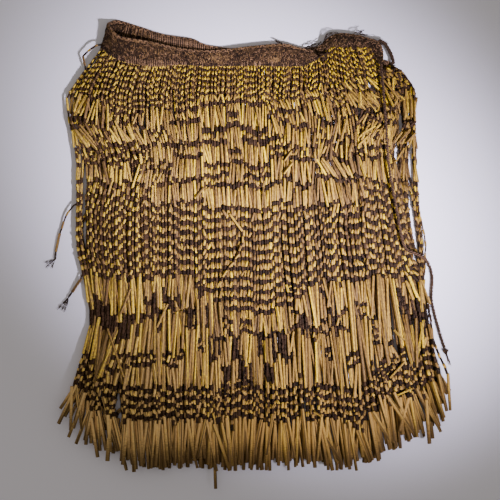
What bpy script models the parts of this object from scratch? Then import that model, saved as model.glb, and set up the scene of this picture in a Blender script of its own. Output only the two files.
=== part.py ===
"""A piupiu: a Maori waist garment of rolled flax strands, laid flat and doubled.

One long band of woven flax fibre carries two rows of strands on its lower edge. The garment lies with
the band folded round at the left, so the back panel lies on the surface and the front panel lies on it.
The front end of the band is crumpled at the right and narrows into a long tie with a knot.

Sizes are in millimetres in a flat layout: +X to the right, +Y towards the band, +Z up from the surface.
place() turns them to metres and puts the middle of the outline at the origin.
"""

import random
from typing import NamedTuple

import bmesh
import bpy
from mathutils import Vector

# ---------------------------------------------------------------- driving dimensions, millimetres
MM = 0.001
CENTRE_X = -5.4         # middle of the finished outline, in the layout
CENTRE_Y = 0.5

BAND_WALL = 3.8         # felted band, through its thickness
RIDGE_RISE = 0.8        # plaited ridge along the top edge, above the face of the band
SEAM_GAP = 0.3          # between pieces that are sewn to each other
STRIP_DEPTH = 3.2       # strip that holds the roots of one row of strands, down from the band's edge
STRIP_WALL = 1.7
STRIP_OFFSET = 1.05     # strip's middle from the middle of the band's wall

ROOT_RADIUS = 0.65      # strand where it leaves the band
BEAD_RADIUS = 1.7       # strand in the short beads below the band
HEM_RADIUS = 2.3        # strand in the long tubes at the hem
STRAIGHT_WITHIN = 1.3   # a bend smaller than this is left out of a strand
TIP_SCATTER = 8.0       # strands end this far above or below the hem line
SWAY = 0.4              # sideways wander of a strand at each level
SEED = 11

CORD_RADIUS = 1.5       # two-ply tie
TAIL_RADIUS = 1.2
CORD_STEP = 7.5         # between points read from the tie's smooth route
STUB_STEP = 3.8
KNOT_RADIUS = 3.6
KNOT_FLATNESS = 0.8     # height over width
KNOT_CLEARANCE = 0.05   # under the knot
STUB_RADIUS = 1.8


class BandSection(NamedTuple):
    """One section across the band: its lower edge, its upper edge, and how far its middle is domed."""

    panel: str
    lower: tuple
    upper: tuple
    dome: float


BAND = [
    # panel            lower edge x, y, z       upper edge x, y, z      dome
    BandSection("tail", (168, 259, 20.5), (174, 260, 20.5), 0.0),
    BandSection("tail", (164, 270, 14.5), (174, 273, 15.0), 0.8),
    BandSection("front", (158, 275.5, 11), (169, 287, 10), 2.5),
    BandSection("front", (146, 277, 10.5), (157, 292, 9), 5.0),
    BandSection("front", (132, 276, 10.5), (138, 297, 9), 6.0),
    BandSection("front", (116, 276, 10.5), (117, 299, 9), 6.0),
    BandSection("front", (104, 276, 10.5), (103, 295, 8), 4.0),
    BandSection("front", (96, 271, 10.5), (92, 285, 7), 1.5),
    BandSection("front", (86, 264, 10.5), (81, 277, 7), 1.0),
    BandSection("front", (74, 257, 10.5), (68, 278, 7), 1.5),
    BandSection("front", (57, 254, 10.5), (57, 281, 7), 2.0),
    BandSection("front", (38, 254, 10.5), (38, 285, 7.5), 2.0),
    BandSection("front", (-5, 255, 10.5), (-5, 281.5, 7.5), 2.0),
    BandSection("front", (-57, 254, 10.5), (-57, 276, 7), 1.5),
    BandSection("front", (-100, 256, 11.5), (-100, 279, 9), 2.0),
    BandSection("front", (-140, 254, 13.5), (-140, 287, 15), 2.0),
    BandSection("front", (-176, 260, 15.5), (-176, 292, 21), 2.0),
    BandSection("front", (-189, 266, 16), (-186, 297, 23), 1.5),
    BandSection("fold", (-198, 272, 14.5), (-193, 305, 21), 0.5),
    BandSection("fold", (-205, 278, 10), (-197, 311, 13), 0.0),
    BandSection("fold", (-204, 282, 5), (-193, 315, 6.5), 0.0),
    BandSection("back", (-194, 284, 1.9), (-184, 317, 1.9), 0.0),
    BandSection("back", (-158, 276, 1.9), (-154, 308, 1.9), 0.0),
    BandSection("back", (-122, 266, 1.9), (-122, 298, 1.9), 0.0),
    BandSection("back", (-84, 260, 1.9), (-84, 292, 1.9), 0.0),
    BandSection("back", (-60, 256, 1.9), (-60, 283, 1.9), 0.0),
    BandSection("back", (-5, 255, 1.9), (-5, 278, 1.9), 0.0),
    BandSection("back", (76, 258, 1.9), (76, 280, 1.9), 0.0),
    BandSection("back", (116, 263, 1.9), (113, 290, 1.9), 0.0),
    BandSection("back", (143, 267, 1.9), (140, 291, 1.9), 0.0),
    BandSection("back", (162, 266, 1.9), (159, 283, 1.9), 0.0),
    BandSection("back", (189, 256, 1.9), (188, 262, 1.9), 0.0),
]


class FaceStop(NamedTuple):
    """A point across the face of the band: its place from lower to upper edge, and its ridge share."""

    across: float
    ridge: float


FACE = [
    FaceStop(0.0, 0.0),
    FaceStop(0.35, 0.0),
    FaceStop(0.7, 0.0),
    FaceStop(0.8, 0.0),
    FaceStop(0.86, 1.0),
    FaceStop(0.95, 1.0),
    FaceStop(1.0, 0.0),
]

# Levels down the garment at which the guide strands are measured.
LEVELS = (229, 202, 121, 13, -88, -183)


class Guide(NamedTuple):
    """A strand that leads its neighbours: its share of the band's edge, x at each level, and its tip."""

    share: float
    x_at_levels: tuple
    tip: tuple


FRONT_GUIDES = [
    #      share        x at 229   202   121    13   -88  -183        tip x, y
    Guide(0.000, (-243, -252, -238, -240, -221, -246), (-265, -228)),
    Guide(0.025, (-232, -239, -227, -224, -213, -230), (-246, -251)),
    Guide(0.065, (-215, -220, -207, -204, -200, -209), (-212, -273)),
    Guide(0.120, (-185, -189, -178, -176, -173, -180), (-180, -284)),
    Guide(0.200, (-144, -146, -138, -135, -134, -136), (-138, -285)),
    Guide(0.340, (-86, -86, -82, -80, -80, -81), (-80, -281)),
    Guide(0.485, (-30, -30, -26, -23, -22, -22), (-22, -285)),
    Guide(0.635, (30, 31, 36, 42, 47, 53), (58, -284)),
    Guide(0.755, (78, 82, 92, 103, 113, 126), (138, -285)),
    Guide(0.825, (107, 113, 124, 138, 150, 165), (178, -264)),
    Guide(0.910, (143, 154, 161, 176, 189, 207), (223, -250)),
    Guide(1.000, (184, 196, 194, 215, 234, 252), (262, -216)),
]

BACK_GUIDES = [
    #      share        x at 229   202   121    13   -88  -183        tip x, y
    Guide(0.000, (-236, -246, -232, -235, -219, -239), (-252, -246)),
    Guide(0.100, (-202, -207, -194, -192, -189, -194), (-197, -278)),
    Guide(0.200, (-157, -158, -150, -146, -144, -148), (-148, -284)),
    Guide(0.340, (-94, -94, -90, -86, -86, -88), (-86, -285)),
    Guide(0.480, (-38, -38, -34, -30, -30, -30), (-30, -289)),
    Guide(0.620, (20, 22, 27, 32, 36, 40), (46, -288)),
    Guide(0.740, (73, 77, 85, 94, 104, 115), (126, -287)),
    Guide(0.840, (128, 135, 143, 158, 170, 185), (198, -266)),
    Guide(0.920, (173, 185, 185, 200, 215, 231), (243, -258)),
    Guide(0.970, (202, 207, 205, 217, 225, 247), (255, -239)),
    Guide(1.000, (215, 219, 220, 228, 235, 259), (265, -210)),
]


class FringeRow(NamedTuple):
    """One row of strands: its panel, its side of the band's wall, its height, and how many it has."""

    node: str
    panel: str
    side: int
    level: float
    strands: int
    phase: float
    guides: list


ROWS = [
    FringeRow("fringe_front_outer", "front", 1, 17.3, 62, 0.25, FRONT_GUIDES),
    FringeRow("fringe_front_inner", "front", -1, 12.4, 62, 0.75, FRONT_GUIDES),
    FringeRow("fringe_back_inner", "back", -1, 7.5, 57, 0.25, BACK_GUIDES),
    FringeRow("fringe_back_outer", "back", 1, 2.6, 57, 0.75, BACK_GUIDES),
]

# Strands with a path of their own, by row and place in the row: points x, y down from the band.
BROKEN_STRANDS = {
    ("fringe_back_inner", 0): [
        (-236, 229), (-246, 202), (-232, 121), (-234, 77), (-248, 63), (-263, 27), (-275, -9)],
    ("fringe_back_outer", 0): [
        (-236, 229), (-246, 202), (-232, 121), (-234, 13), (-232, -29), (-246, -50), (-258, -66)],
}
LONG_STRAND = ("fringe_front_inner", 26)
LONG_STRAND_TIP_Y = -316.0

# The tie's route: x, y and the height of its middle, from the end of the band to the knot.
TIE_ROUTE = [
    (171.3, 258.2, 20.6), (172.5, 250, 21.4), (174, 239, 21.6), (176, 216, 21.6), (179, 189, 21.6),
    (182, 155, 21.6), (185, 121, 21.6), (192, 87, 21.6), (197, 54, 21.6), (200, 25, 21.6),
    (205, 9, 21.6), (214, 3, 21.6), (224, -1, 18.0), (233, -7, 9.0), (239, -17, 2.6),
    (242, -31, 1.9), (241.5, -46, 1.9), (241, -60, 1.9), (244, -76, 1.9), (251, -102, 1.9),
    (258.9, -127.3, 2.3),
]
KNOT_AT = (260.2, -131.0)
TAIL_ROUTE = [(261.4, -134.8, 2.3), (264, -142, 1.9), (266.5, -150, 1.9)]

# The second tie's end, from the crumpled end of the band round to the end of the back band.
STUB_ROUTE = [
    (169.25, 287.25, 10.0), (171, 289.1, 9.8), (176, 286.5, 9.4), (181, 280, 9), (185.5, 271.5, 8),
    (188.2, 264, 6.9), (188.6, 259, 6.8),
]

COLLECTION = "piupiu"
CURVE_WELD = 0.00001    # metres, closes the caps of a curve


def place(point):
    """Turns a layout point in millimetres to the part's frame in metres."""
    return Vector((point[0] - CENTRE_X, point[1] - CENTRE_Y, point[2])) * MM


def blend(a, b, share):
    return a + (b - a) * share


# ---------------------------------------------------------------- scene helpers
def clear_scene():
    for thing in list(bpy.data.objects):
        bpy.data.objects.remove(thing, do_unlink=True)


def make_collection(name):
    found = bpy.data.collections.new(name)
    bpy.context.scene.collection.children.link(found)
    return found


def make_material(name, colour, roughness):
    material = bpy.data.materials.new(name)
    material.use_nodes = True
    shader = material.node_tree.nodes["Principled BSDF"]
    shader.inputs["Base Color"].default_value = (*colour, 1.0)
    shader.inputs["Roughness"].default_value = roughness
    shader.inputs["Metallic"].default_value = 0.0
    return material


def add_mesh(name, mesh, material, collection):
    thing = bpy.data.objects.new(name, mesh)
    mesh.materials.clear()
    mesh.materials.append(material)
    collection.objects.link(thing)
    return thing


def loft(name, rings):
    """Skins closed rings of points one after another, with a cap on each end."""
    mesh = bpy.data.meshes.new(name)
    shape = bmesh.new()
    loops = [[shape.verts.new(point) for point in ring] for ring in rings]
    count = len(loops[0])
    for here, there in zip(loops, loops[1:]):
        for i in range(count):
            j = (i + 1) % count
            shape.faces.new((here[i], here[j], there[j], there[i]))
    shape.faces.new(loops[0])
    shape.faces.new(loops[-1])
    bmesh.ops.recalc_face_normals(shape, faces=shape.faces)
    shape.to_mesh(mesh)
    shape.free()
    return mesh


def tube_curve(name, paths, depth, resolution):
    """A curve object with one filled, bevelled POLY spline for each path of (point, radius) pairs."""
    curve = bpy.data.curves.new(name, "CURVE")
    curve.dimensions = "3D"
    curve.twist_mode = "Z_UP"
    curve.bevel_depth = depth * MM
    curve.bevel_resolution = resolution
    curve.use_fill_caps = True
    for path in paths:
        spline = curve.splines.new("POLY")
        spline.points.add(len(path) - 1)
        for knot, (point, radius) in zip(spline.points, path):
            knot.co = (*place(point), 1.0)
            knot.radius = radius / depth
    return bpy.data.objects.new(name, curve)


def mesh_of(thing, name):
    """The closed mesh of a bevelled curve, which is then removed."""
    bpy.context.scene.collection.objects.link(thing)
    bpy.context.view_layer.update()
    seen = thing.evaluated_get(bpy.context.evaluated_depsgraph_get())
    mesh = bpy.data.meshes.new_from_object(seen)
    mesh.name = name
    bpy.data.objects.remove(thing, do_unlink=True)
    shape = bmesh.new()
    shape.from_mesh(mesh)
    bmesh.ops.remove_doubles(shape, verts=shape.verts, dist=CURVE_WELD)
    bmesh.ops.recalc_face_normals(shape, faces=shape.faces)
    shape.to_mesh(mesh)
    shape.free()
    return mesh


# ---------------------------------------------------------------- band
class Station(NamedTuple):
    """A section of the band worked out: edges, the way down the garment, and the outward normal."""

    panel: str
    lower: Vector
    upper: Vector
    down: Vector
    outward: Vector
    dome: float


def band_stations():
    """Works out the outward normal of the band at each section from its neighbours."""
    middles = [(Vector(s.lower) + Vector(s.upper)) / 2 for s in BAND]
    last = len(BAND) - 1
    stations = []
    for i, section in enumerate(BAND):
        starts_back = section.panel == "back" and BAND[i - 1].panel != "back"
        before = middles[i if starts_back else max(i - 1, 0)]
        after = middles[min(i + 1, last)]
        up = (Vector(section.upper) - Vector(section.lower)).normalized()
        outward = up.cross(after - before).normalized()
        stations.append(Station(section.panel, Vector(section.lower), Vector(section.upper), -up,
                                outward, section.dome))
    return stations


def band_ring(station):
    """The closed ring of points round one section, ridged on the face that is seen from above."""
    ridge_outside = station.panel != "back"
    ring = []
    for stops, side, ridged in ((FACE, 1, ridge_outside), (reversed(FACE), -1, not ridge_outside)):
        for stop in stops:
            dome = station.dome * 4 * stop.across * (1 - stop.across)
            rise = BAND_WALL / 2 + RIDGE_RISE * stop.ridge * ridged
            point = blend(station.lower, station.upper, stop.across)
            ring.append(place(point + station.outward * (dome + side * rise)))
    return ring


def build_band(stations, material, collection):
    """The band is one wall, with its ridge on the face that is seen from above."""
    mesh = loft("waistband", [band_ring(s) for s in stations])
    return add_mesh("waistband", mesh, material, collection)


# ---------------------------------------------------------------- fringe
def panel_edge(stations, panel):
    """The stations whose lower edge carries the strands of a panel, from left to right."""
    edge = [s for s in stations if s.panel == panel]
    return sorted(edge, key=lambda s: s.lower.x)


def edge_at(edge, share):
    """The lower edge, way down and outward normal at a share of the edge's length."""
    lengths = [0.0]
    for here, there in zip(edge, edge[1:]):
        lengths.append(lengths[-1] + (there.lower - here.lower).length)
    target = share * lengths[-1]
    for i in range(len(edge) - 1):
        if target <= lengths[i + 1] or i == len(edge) - 2:
            part = (target - lengths[i]) / (lengths[i + 1] - lengths[i])
            here, there = edge[i], edge[i + 1]
            return (blend(here.lower, there.lower, part),
                    blend(here.down, there.down, part).normalized(),
                    blend(here.outward, there.outward, part).normalized())
    return None


def strip_mesh(row, edge):
    """The narrow strip, parted from the edge of the band, that holds the roots of a row."""
    rings = []
    for s in edge:
        middle = s.lower + s.outward * row.side * STRIP_OFFSET
        half = s.outward * STRIP_WALL / 2
        near = middle + s.down * SEAM_GAP
        far = middle + s.down * (SEAM_GAP + STRIP_DEPTH)
        rings.append([place(p) for p in (near + half, near - half, far - half, far + half)])
    return loft(row.node, rings)


def guided(guides, share):
    """x at each level and the tip of the strand at a share of the edge, between its two guides."""
    for left, right in zip(guides, guides[1:]):
        if share <= right.share or right is guides[-1]:
            part = (share - left.share) / (right.share - left.share)
            xs = [blend(a, b, part) for a, b in zip(left.x_at_levels, right.x_at_levels)]
            tip = [blend(a, b, part) for a, b in zip(left.tip, right.tip)]
            return xs, tip
    return None


def without_straight_points(path):
    """Drops the inner points that lie nearly on the line between the points kept round them."""
    kept = path[:2]
    for i in range(2, len(path) - 1):
        here, after = path[i][0], path[i + 1][0]
        before = kept[-1][0]
        along = (after - before).normalized()
        if (here - before - along * (here - before).dot(along)).length > STRAIGHT_WITHIN:
            kept.append(path[i])
    kept.append(path[-1])
    return kept


def strand_radius(y):
    """Strands thicken from the small beads below the band to the long tubes at the hem."""
    share = (LEVELS[0] - y) / (LEVELS[0] - LEVELS[-1])
    return blend(BEAD_RADIUS, HEM_RADIUS, min(max(share, 0.0), 1.0))


def strand_path(row, number, edge, chance):
    """Points and radii of one strand, from its root in the strip to its tip."""
    share = (number + row.phase) / row.strands
    foot, down, outward = edge_at(edge, share)
    root = foot + outward * row.side * STRIP_OFFSET + down * (SEAM_GAP + STRIP_DEPTH / 2)
    path = [(root, ROOT_RADIUS)]
    if (row.node, number) in BROKEN_STRANDS:
        for x, y in BROKEN_STRANDS[(row.node, number)]:
            path.append((Vector((x, y, row.level)), BEAD_RADIUS))
        return path
    xs, tip = guided(row.guides, share)
    tip_y = tip[1] + chance.uniform(-TIP_SCATTER, TIP_SCATTER)
    if (row.node, number) == LONG_STRAND:
        tip_y = LONG_STRAND_TIP_Y
    for x, y in zip(xs, LEVELS):
        sway = chance.uniform(-SWAY, SWAY)
        path.append((Vector((x + sway, y, row.level)), strand_radius(y)))
    path.append((Vector((tip[0], tip_y, row.level)), HEM_RADIUS))
    return without_straight_points(path)


def build_fringe(row, stations, material, collection, cutters):
    """A row of strands fused to its strip."""
    edge = panel_edge(stations, row.panel)
    chance = random.Random(SEED + ROWS.index(row))
    paths = [strand_path(row, number, edge, chance) for number in range(row.strands)]
    strands = tube_curve(row.node + "_strands", paths, HEM_RADIUS, 0)
    cutter = add_mesh(row.node + "_strands", mesh_of(strands, row.node + "_strands"), material, cutters)
    cutter.hide_render = True
    cutter.display_type = "WIRE"
    fringe = add_mesh(row.node, strip_mesh(row, edge), material, collection)
    union = fringe.modifiers.new("strands", "BOOLEAN")
    union.operation = "UNION"
    union.solver = "EXACT"
    union.object = cutter
    return fringe


# ---------------------------------------------------------------- ties
def smooth_route(points, step):
    """Points every step or so along a Catmull-Rom curve through the route's points."""
    points = [Vector(p) for p in points]
    ends = [points[0] * 2 - points[1]] + points + [points[-1] * 2 - points[-2]]
    route = []
    for a, b, c, d in zip(ends, ends[1:], ends[2:], ends[3:]):
        parts = max(1, round((c - b).length / step))
        for i in range(parts):
            t = i / parts
            route.append(0.5 * (2 * b + (c - a) * t + (2 * a - 5 * b + 4 * c - d) * t * t
                                + (3 * b - a - 3 * c + d) * t * t * t))
    route.append(points[-1])
    return route


def build_tube(name, route, radius, step, material, collection):
    path = [(point, radius) for point in smooth_route(route, step)]
    tube = tube_curve(name, [path], radius, 2)
    tube.data.materials.append(material)
    collection.objects.link(tube)
    return tube


def build_knot(material, collection):
    """A small round knot, flattened where it lies on the surface."""
    shape = bmesh.new()
    bmesh.ops.create_icosphere(shape, subdivisions=2, radius=KNOT_RADIUS * MM)
    bmesh.ops.scale(shape, vec=(1.0, 1.0, KNOT_FLATNESS), verts=shape.verts)
    mesh = bpy.data.meshes.new("tie_knot")
    shape.to_mesh(mesh)
    shape.free()
    knot = add_mesh("tie_knot", mesh, material, collection)
    knot.location = place((*KNOT_AT, KNOT_RADIUS * KNOT_FLATNESS + KNOT_CLEARANCE))
    return knot


def main():
    clear_scene()
    parts = make_collection(COLLECTION)
    cutters = make_collection("cutters")
    felt = make_material("felted_band", (0.16, 0.085, 0.05), 0.9)
    straw = make_material("rolled_flax", (0.52, 0.34, 0.11), 0.5)
    dyed = make_material("dyed_cord", (0.045, 0.028, 0.025), 0.85)
    stations = band_stations()
    build_band(stations, felt, parts)
    for row in ROWS:
        build_fringe(row, stations, straw, parts, cutters)
    build_tube("tie_cord", TIE_ROUTE, CORD_RADIUS, CORD_STEP, dyed, parts)
    build_knot(dyed, parts)
    build_tube("tie_tail", TAIL_ROUTE, TAIL_RADIUS, CORD_STEP, dyed, parts)
    build_tube("tie_stub", STUB_ROUTE, STUB_RADIUS, STUB_STEP, dyed, parts)


main()
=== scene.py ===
"""A piupiu laid flat and doubled: strands of rolled flax on a felted fibre band, with a twisted tie.

The band is folded round at the left, so the back panel lies on the floor and the front panel lies on
it, and the front end of the band is crumpled at the right, where it narrows into the long tie.

Layout sizes are in millimetres: +X to the right, +Y towards the band, +Z up from the floor. placed()
turns them to the frame's metres. A drop is a distance down the garment from the band's lower edge.
"""

import logging
import math
from dataclasses import dataclass, field
from enum import Enum
from random import Random
from typing import NamedTuple

import bmesh
import bpy
import numpy as np
from bpy.types import Material, Mesh, Object
from mathutils import Matrix, Vector, noise


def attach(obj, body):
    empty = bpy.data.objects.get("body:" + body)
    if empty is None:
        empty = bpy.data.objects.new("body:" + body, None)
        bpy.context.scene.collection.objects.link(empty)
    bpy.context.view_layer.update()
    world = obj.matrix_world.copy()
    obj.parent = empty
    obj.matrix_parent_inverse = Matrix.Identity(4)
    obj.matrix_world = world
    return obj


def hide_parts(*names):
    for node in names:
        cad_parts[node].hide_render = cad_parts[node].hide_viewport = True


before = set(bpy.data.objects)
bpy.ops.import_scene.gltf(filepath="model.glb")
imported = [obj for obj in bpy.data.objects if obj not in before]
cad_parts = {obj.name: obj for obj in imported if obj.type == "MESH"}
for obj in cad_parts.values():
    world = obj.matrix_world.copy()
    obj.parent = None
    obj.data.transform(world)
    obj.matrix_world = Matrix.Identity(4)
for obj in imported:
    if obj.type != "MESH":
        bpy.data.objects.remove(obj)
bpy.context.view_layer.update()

BODY = "root"
LOG = logging.getLogger("piupiu")

MM = 0.001
CENTRE = np.array((-5.4, 0.5, 0.0))     # middle of the outline, in the layout
EDGE_Y = 255.0                          # the band's lower edge in the middle, where a drop is nought
FLOOR_GAP = 0.1                         # room under tubes and plies; felt has half of it, hairs twice


Point = np.ndarray | tuple | list       # x, y and z in the layout


def placed(points: np.ndarray) -> np.ndarray:
    """Turns layout points in millimetres to the frame's metres.

    Args:
        points: an array whose last axis holds x, y and z.
    Returns:
        The same points in metres, in the frame.
    """
    return (np.asarray(points, dtype=float) - CENTRE) * MM


def catmull_rom(rows: np.ndarray, step: float, measure: slice = slice(0, 3)) -> np.ndarray:
    """Points every step or so along a smooth curve through rows of values.

    Args:
        rows: one row of values for each point that the curve goes through.
        step: spacing of the new points, in the unit of the measured columns.
        measure: the columns whose distance counts.
    Returns:
        The rows read along the curve, the first and last ones included.
    """
    rows = np.asarray(rows, dtype=float)
    ends = np.vstack([rows[0] * 2 - rows[1], rows, rows[-1] * 2 - rows[-2]])
    route = []
    for a, b, c, d in zip(ends, ends[1:], ends[2:], ends[3:]):
        parts = max(1, round(float(np.linalg.norm((c - b)[measure])) / step))
        for i in range(parts):
            t = i / parts
            route.append(0.5 * (2 * b + (c - a) * t + (2 * a - 5 * b + 4 * c - d) * t * t
                                + (3 * b - a - 3 * c + d) * t * t * t))
    route.append(rows[-1])
    return np.array(route)


def clamp(value: float, low: float = 0.0, high: float = 1.0) -> float:
    """The value, held between low and high."""
    return min(max(value, low), high)


def units(vectors: np.ndarray) -> np.ndarray:
    """Rows of vectors, each scaled to a length of 1."""
    return vectors / np.linalg.norm(vectors, axis=1)[:, None]


def scatter(chance: Random, *sizes: float) -> np.ndarray:
    """A random vector with a spread for each axis, where a size of 0 draws nothing."""
    return np.array([chance.gauss(0, size) if size else 0.0 for size in sizes])


def run_lengths(points: np.ndarray) -> np.ndarray:
    """Distance along a line of points at each of them, starting at nought."""
    steps = np.linalg.norm(np.diff(points, axis=0), axis=1)
    return np.concatenate([[0.0], np.cumsum(steps)])


# ------------------------------ shader expressions
class Tap:
    """One value in a material's nodes. Python's operators on it add Math nodes."""

    def __init__(self, web: "Web", socket: bpy.types.NodeSocket) -> None:
        """Keeps the node tree and the socket that gives the value."""
        self.web = web
        self.socket = socket

    def maths(self, operation: str, first: "Tap | float", second: "Tap | float" = 0.0) -> "Tap":
        """A Math node on two values, each a Tap or a number."""
        return self.web.node("ShaderNodeMath", {"operation": operation}, {0: first, 1: second})

    def __add__(self, other: "Tap | float") -> "Tap":
        """self + other"""
        return self.maths("ADD", self, other)

    __radd__ = __add__

    def __sub__(self, other: "Tap | float") -> "Tap":
        """self - other"""
        return self.maths("SUBTRACT", self, other)

    def __rsub__(self, other: "Tap | float") -> "Tap":
        """other - self"""
        return self.maths("SUBTRACT", other, self)

    def __mul__(self, other: "Tap | float") -> "Tap":
        """self * other"""
        return self.maths("MULTIPLY", self, other)

    __rmul__ = __mul__

    def between(self, low: float, high: float) -> "Tap":
        """0 below low, 1 above high and a smooth rise from one to the other."""
        return self.web.node("ShaderNodeMapRange", {"interpolation_type": "SMOOTHSTEP"},
                             {"Value": self, "From Min": low, "From Max": high})


class Web:
    """The nodes of one material."""

    def __init__(self, name: str) -> None:
        """Makes the material, with its Principled BSDF ready.

        Args:
            name: the material's name.
        """
        self.material = bpy.data.materials.new(name)
        self.material.use_nodes = True
        self.tree = self.material.node_tree
        self.surface = self.tree.nodes["Principled BSDF"]

    def node(self, kind: str, settings: dict, sockets: dict, output: int | str = 0) -> Tap:
        """Adds a node.

        Args:
            kind: the node's type.
            settings: its own properties, which are set first.
            sockets: input name or index to a Tap, a number, a colour or a vector.
            output: name or index of the output to give back.
        Returns:
            The output as a Tap.
        """
        made = self.tree.nodes.new(kind)
        for key, value in settings.items():
            if key == "stops":
                self._set_stops(made.color_ramp, value)
            else:
                setattr(made, key, value)
        for key, value in sockets.items():
            self._feed(made.inputs[key], value)
        return Tap(self, made.outputs[output])

    def _feed(self, target: bpy.types.NodeSocket, value: Tap | float | tuple) -> None:
        """Links a Tap to a socket, or sets the socket to a constant.

        Args:
            target: the socket.
            value: what it gets.
        """
        if isinstance(value, Tap):
            self.tree.links.new(value.socket, target)
        else:
            target.default_value = value

    @staticmethod
    def _set_stops(ramp: bpy.types.ColorRamp, stops: list) -> None:
        """Gives a colour ramp its stops, as (place, colour) pairs.

        Args:
            ramp: the ramp, new.
            stops: its stops.
        """
        while len(ramp.elements) < len(stops):
            ramp.elements.new(0.5)
        for element, (spot, colour) in zip(ramp.elements, stops):
            element.position = spot
            element.color = (*colour, 1.0)

    def mix(self, share: Tap | float, low: Tap | tuple, high: Tap | tuple, kind: str = "MIX") -> Tap:
        """A colour mixed from two others.

        Args:
            share: how much of the high colour shows.
            low: a Tap or an (r, g, b) tuple.
            high: another.
            kind: the node's blend type.
        Returns:
            The mixed colour.
        """
        colours = {6: low, 7: high}
        full = {key: (*value, 1.0) if isinstance(value, tuple) else value for key, value in colours.items()}
        return self.node("ShaderNodeMix", {"data_type": "RGBA", "blend_type": kind}, {0: share, **full}, 2)

    def ramp(self, value: Tap, stops: list) -> Tap:
        """A colour read off a ramp of (place, colour) stops."""
        return self.node("ShaderNodeValToRGB", {"stops": stops}, {0: value})

    def attribute(self, name: str) -> Tap:
        """A number that the mesh carries under a name."""
        return self.node("ShaderNodeAttribute", {"attribute_name": name}, {}, "Fac")

    def spot(self, name: str = "Object") -> Tap:
        """A vector of the Texture Coordinate node."""
        return self.node("ShaderNodeTexCoord", {}, {}, name)

    def stretch(self, vector: Tap, scale: tuple) -> Tap:
        """A vector scaled by a Mapping node."""
        return self.node("ShaderNodeMapping", {}, {"Vector": vector, "Scale": scale})

    def noise(self, vector: Tap, scale: float, detail: float = 2.0, rough: float = 0.5) -> Tap:
        """Noise from 0 to 1 at a vector."""
        return self.node("ShaderNodeTexNoise", {}, {"Vector": vector, "Scale": scale, "Detail": detail,
                                                    "Roughness": rough}, "Fac")

    def bump(self, height: Tap, depth: float, strength: float = 1.0) -> Tap:
        """A normal bumped by a height, where depth is that of a height of 1, in metres."""
        return self.node("ShaderNodeBump", {}, {"Height": height, "Distance": depth,
                                                "Strength": strength}, "Normal")

    def dress(self, **sockets) -> Material:
        """Feeds the surface.

        Args:
            sockets: what each socket gets, where _ in a name stands for a space.
        Returns:
            The material.
        """
        for key, value in sockets.items():
            name = key.replace("_", " ")
            if isinstance(value, tuple) and len(value) == 3 and "Radius" not in name:
                value = (*value, 1.0)
            self._feed(self.surface.inputs[name], value)
        return self.material


# ------------------------------ finishes
@dataclass(frozen=True)
class FlaxFinish:
    """Rolled flax leaf: straw gold with fine lengthwise ribs, a darker overlap and tea-brown ends, with
    painted shade in the hollow of an open end and painted light that makes the flax paler at the hem and
    bluer to the left.
    """

    name: str = "rolled_flax"
    shade: tuple = (0.165, 0.088, 0.030)
    straw: tuple = (0.355, 0.206, 0.032)
    pale: tuple = (0.80, 0.525, 0.010)
    seam: tuple = (0.045, 0.026, 0.014)
    deep: tuple = (0.080, 0.045, 0.020)
    hem: tuple = (0.520, 0.295, 0.088)
    # painted light: a paler hem colour for the left side, where the light is weaker
    painted_light_hem: tuple = (0.95, 0.60, 0.25)
    # the tea-brown of the ends, which also paints the shade inside an open end
    end: tuple = (0.060, 0.032, 0.014)
    rib_depth: float = 0.00012

    def build(self) -> Material:
        """Makes the material, which reads the tube's own UV map and its tone, age and rim.

        Returns:
            The material.
        """
        web = Web(self.name)
        around = web.spot("UV")
        streaks = web.noise(web.stretch(around, (5.0, 0.25, 1.0)), 1.0, 3.0, 0.6)
        ribs = web.noise(web.stretch(around, (26.0, 0.12, 1.0)), 1.0, 1.0)
        blotches = web.noise(web.stretch(around, (2.0, 0.9, 1.0)), 1.0, 2.0)
        tone = web.attribute("tone")
        colour = web.ramp(tone * 0.8 + streaks * 1.5 - 0.66, [
            (0.0, self.deep), (0.30, self.shade), (0.68, self.straw), (1.0, self.pale)])
        # left rises to 1 towards the left of the garment and drives painted light there: a paler hem and a
        # bluer tone
        left = web.node("ShaderNodeSeparateXYZ", {}, {0: web.spot()}).between(0.02, -0.22)
        aged = web.mix(0.30, web.mix(left, self.hem, self.painted_light_hem), colour)
        colour = web.mix(web.attribute("age"), colour, aged)
        colour = web.mix(blotches.between(0.58, 0.75) * 0.35, colour, self.shade)
        # painted light: a little blue added to the flax on the left, where the light is dimmer
        colour = web.mix(left * tone * 1.2, colour, (0.0, 0.0, 0.04), "ADD")
        turn = web.node("ShaderNodeSeparateXYZ", {}, {0: around})
        overlap = turn.maths("PINGPONG", turn * 2.0, 0.5)
        colour = web.mix(overlap.between(0.19, 0.05) * 0.8, colour, self.seam)
        # rim is 1 at a tube's ends, for their own brown stain, and 2 inside an open end, for painted shade
        # in the hollow
        rim = web.attribute("rim")
        stain = rim + blotches * 0.6 - 0.25
        colour = web.mix(stain.between(0.35, 1.0) * 0.8, colour, self.end)
        height = ribs * 0.6 + streaks * 0.4
        return web.dress(Base_Color=colour, Roughness=0.34 + streaks * 0.25,
                         Specular_IOR_Level=0.06, Normal=web.bump(height, self.rib_depth))


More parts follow.
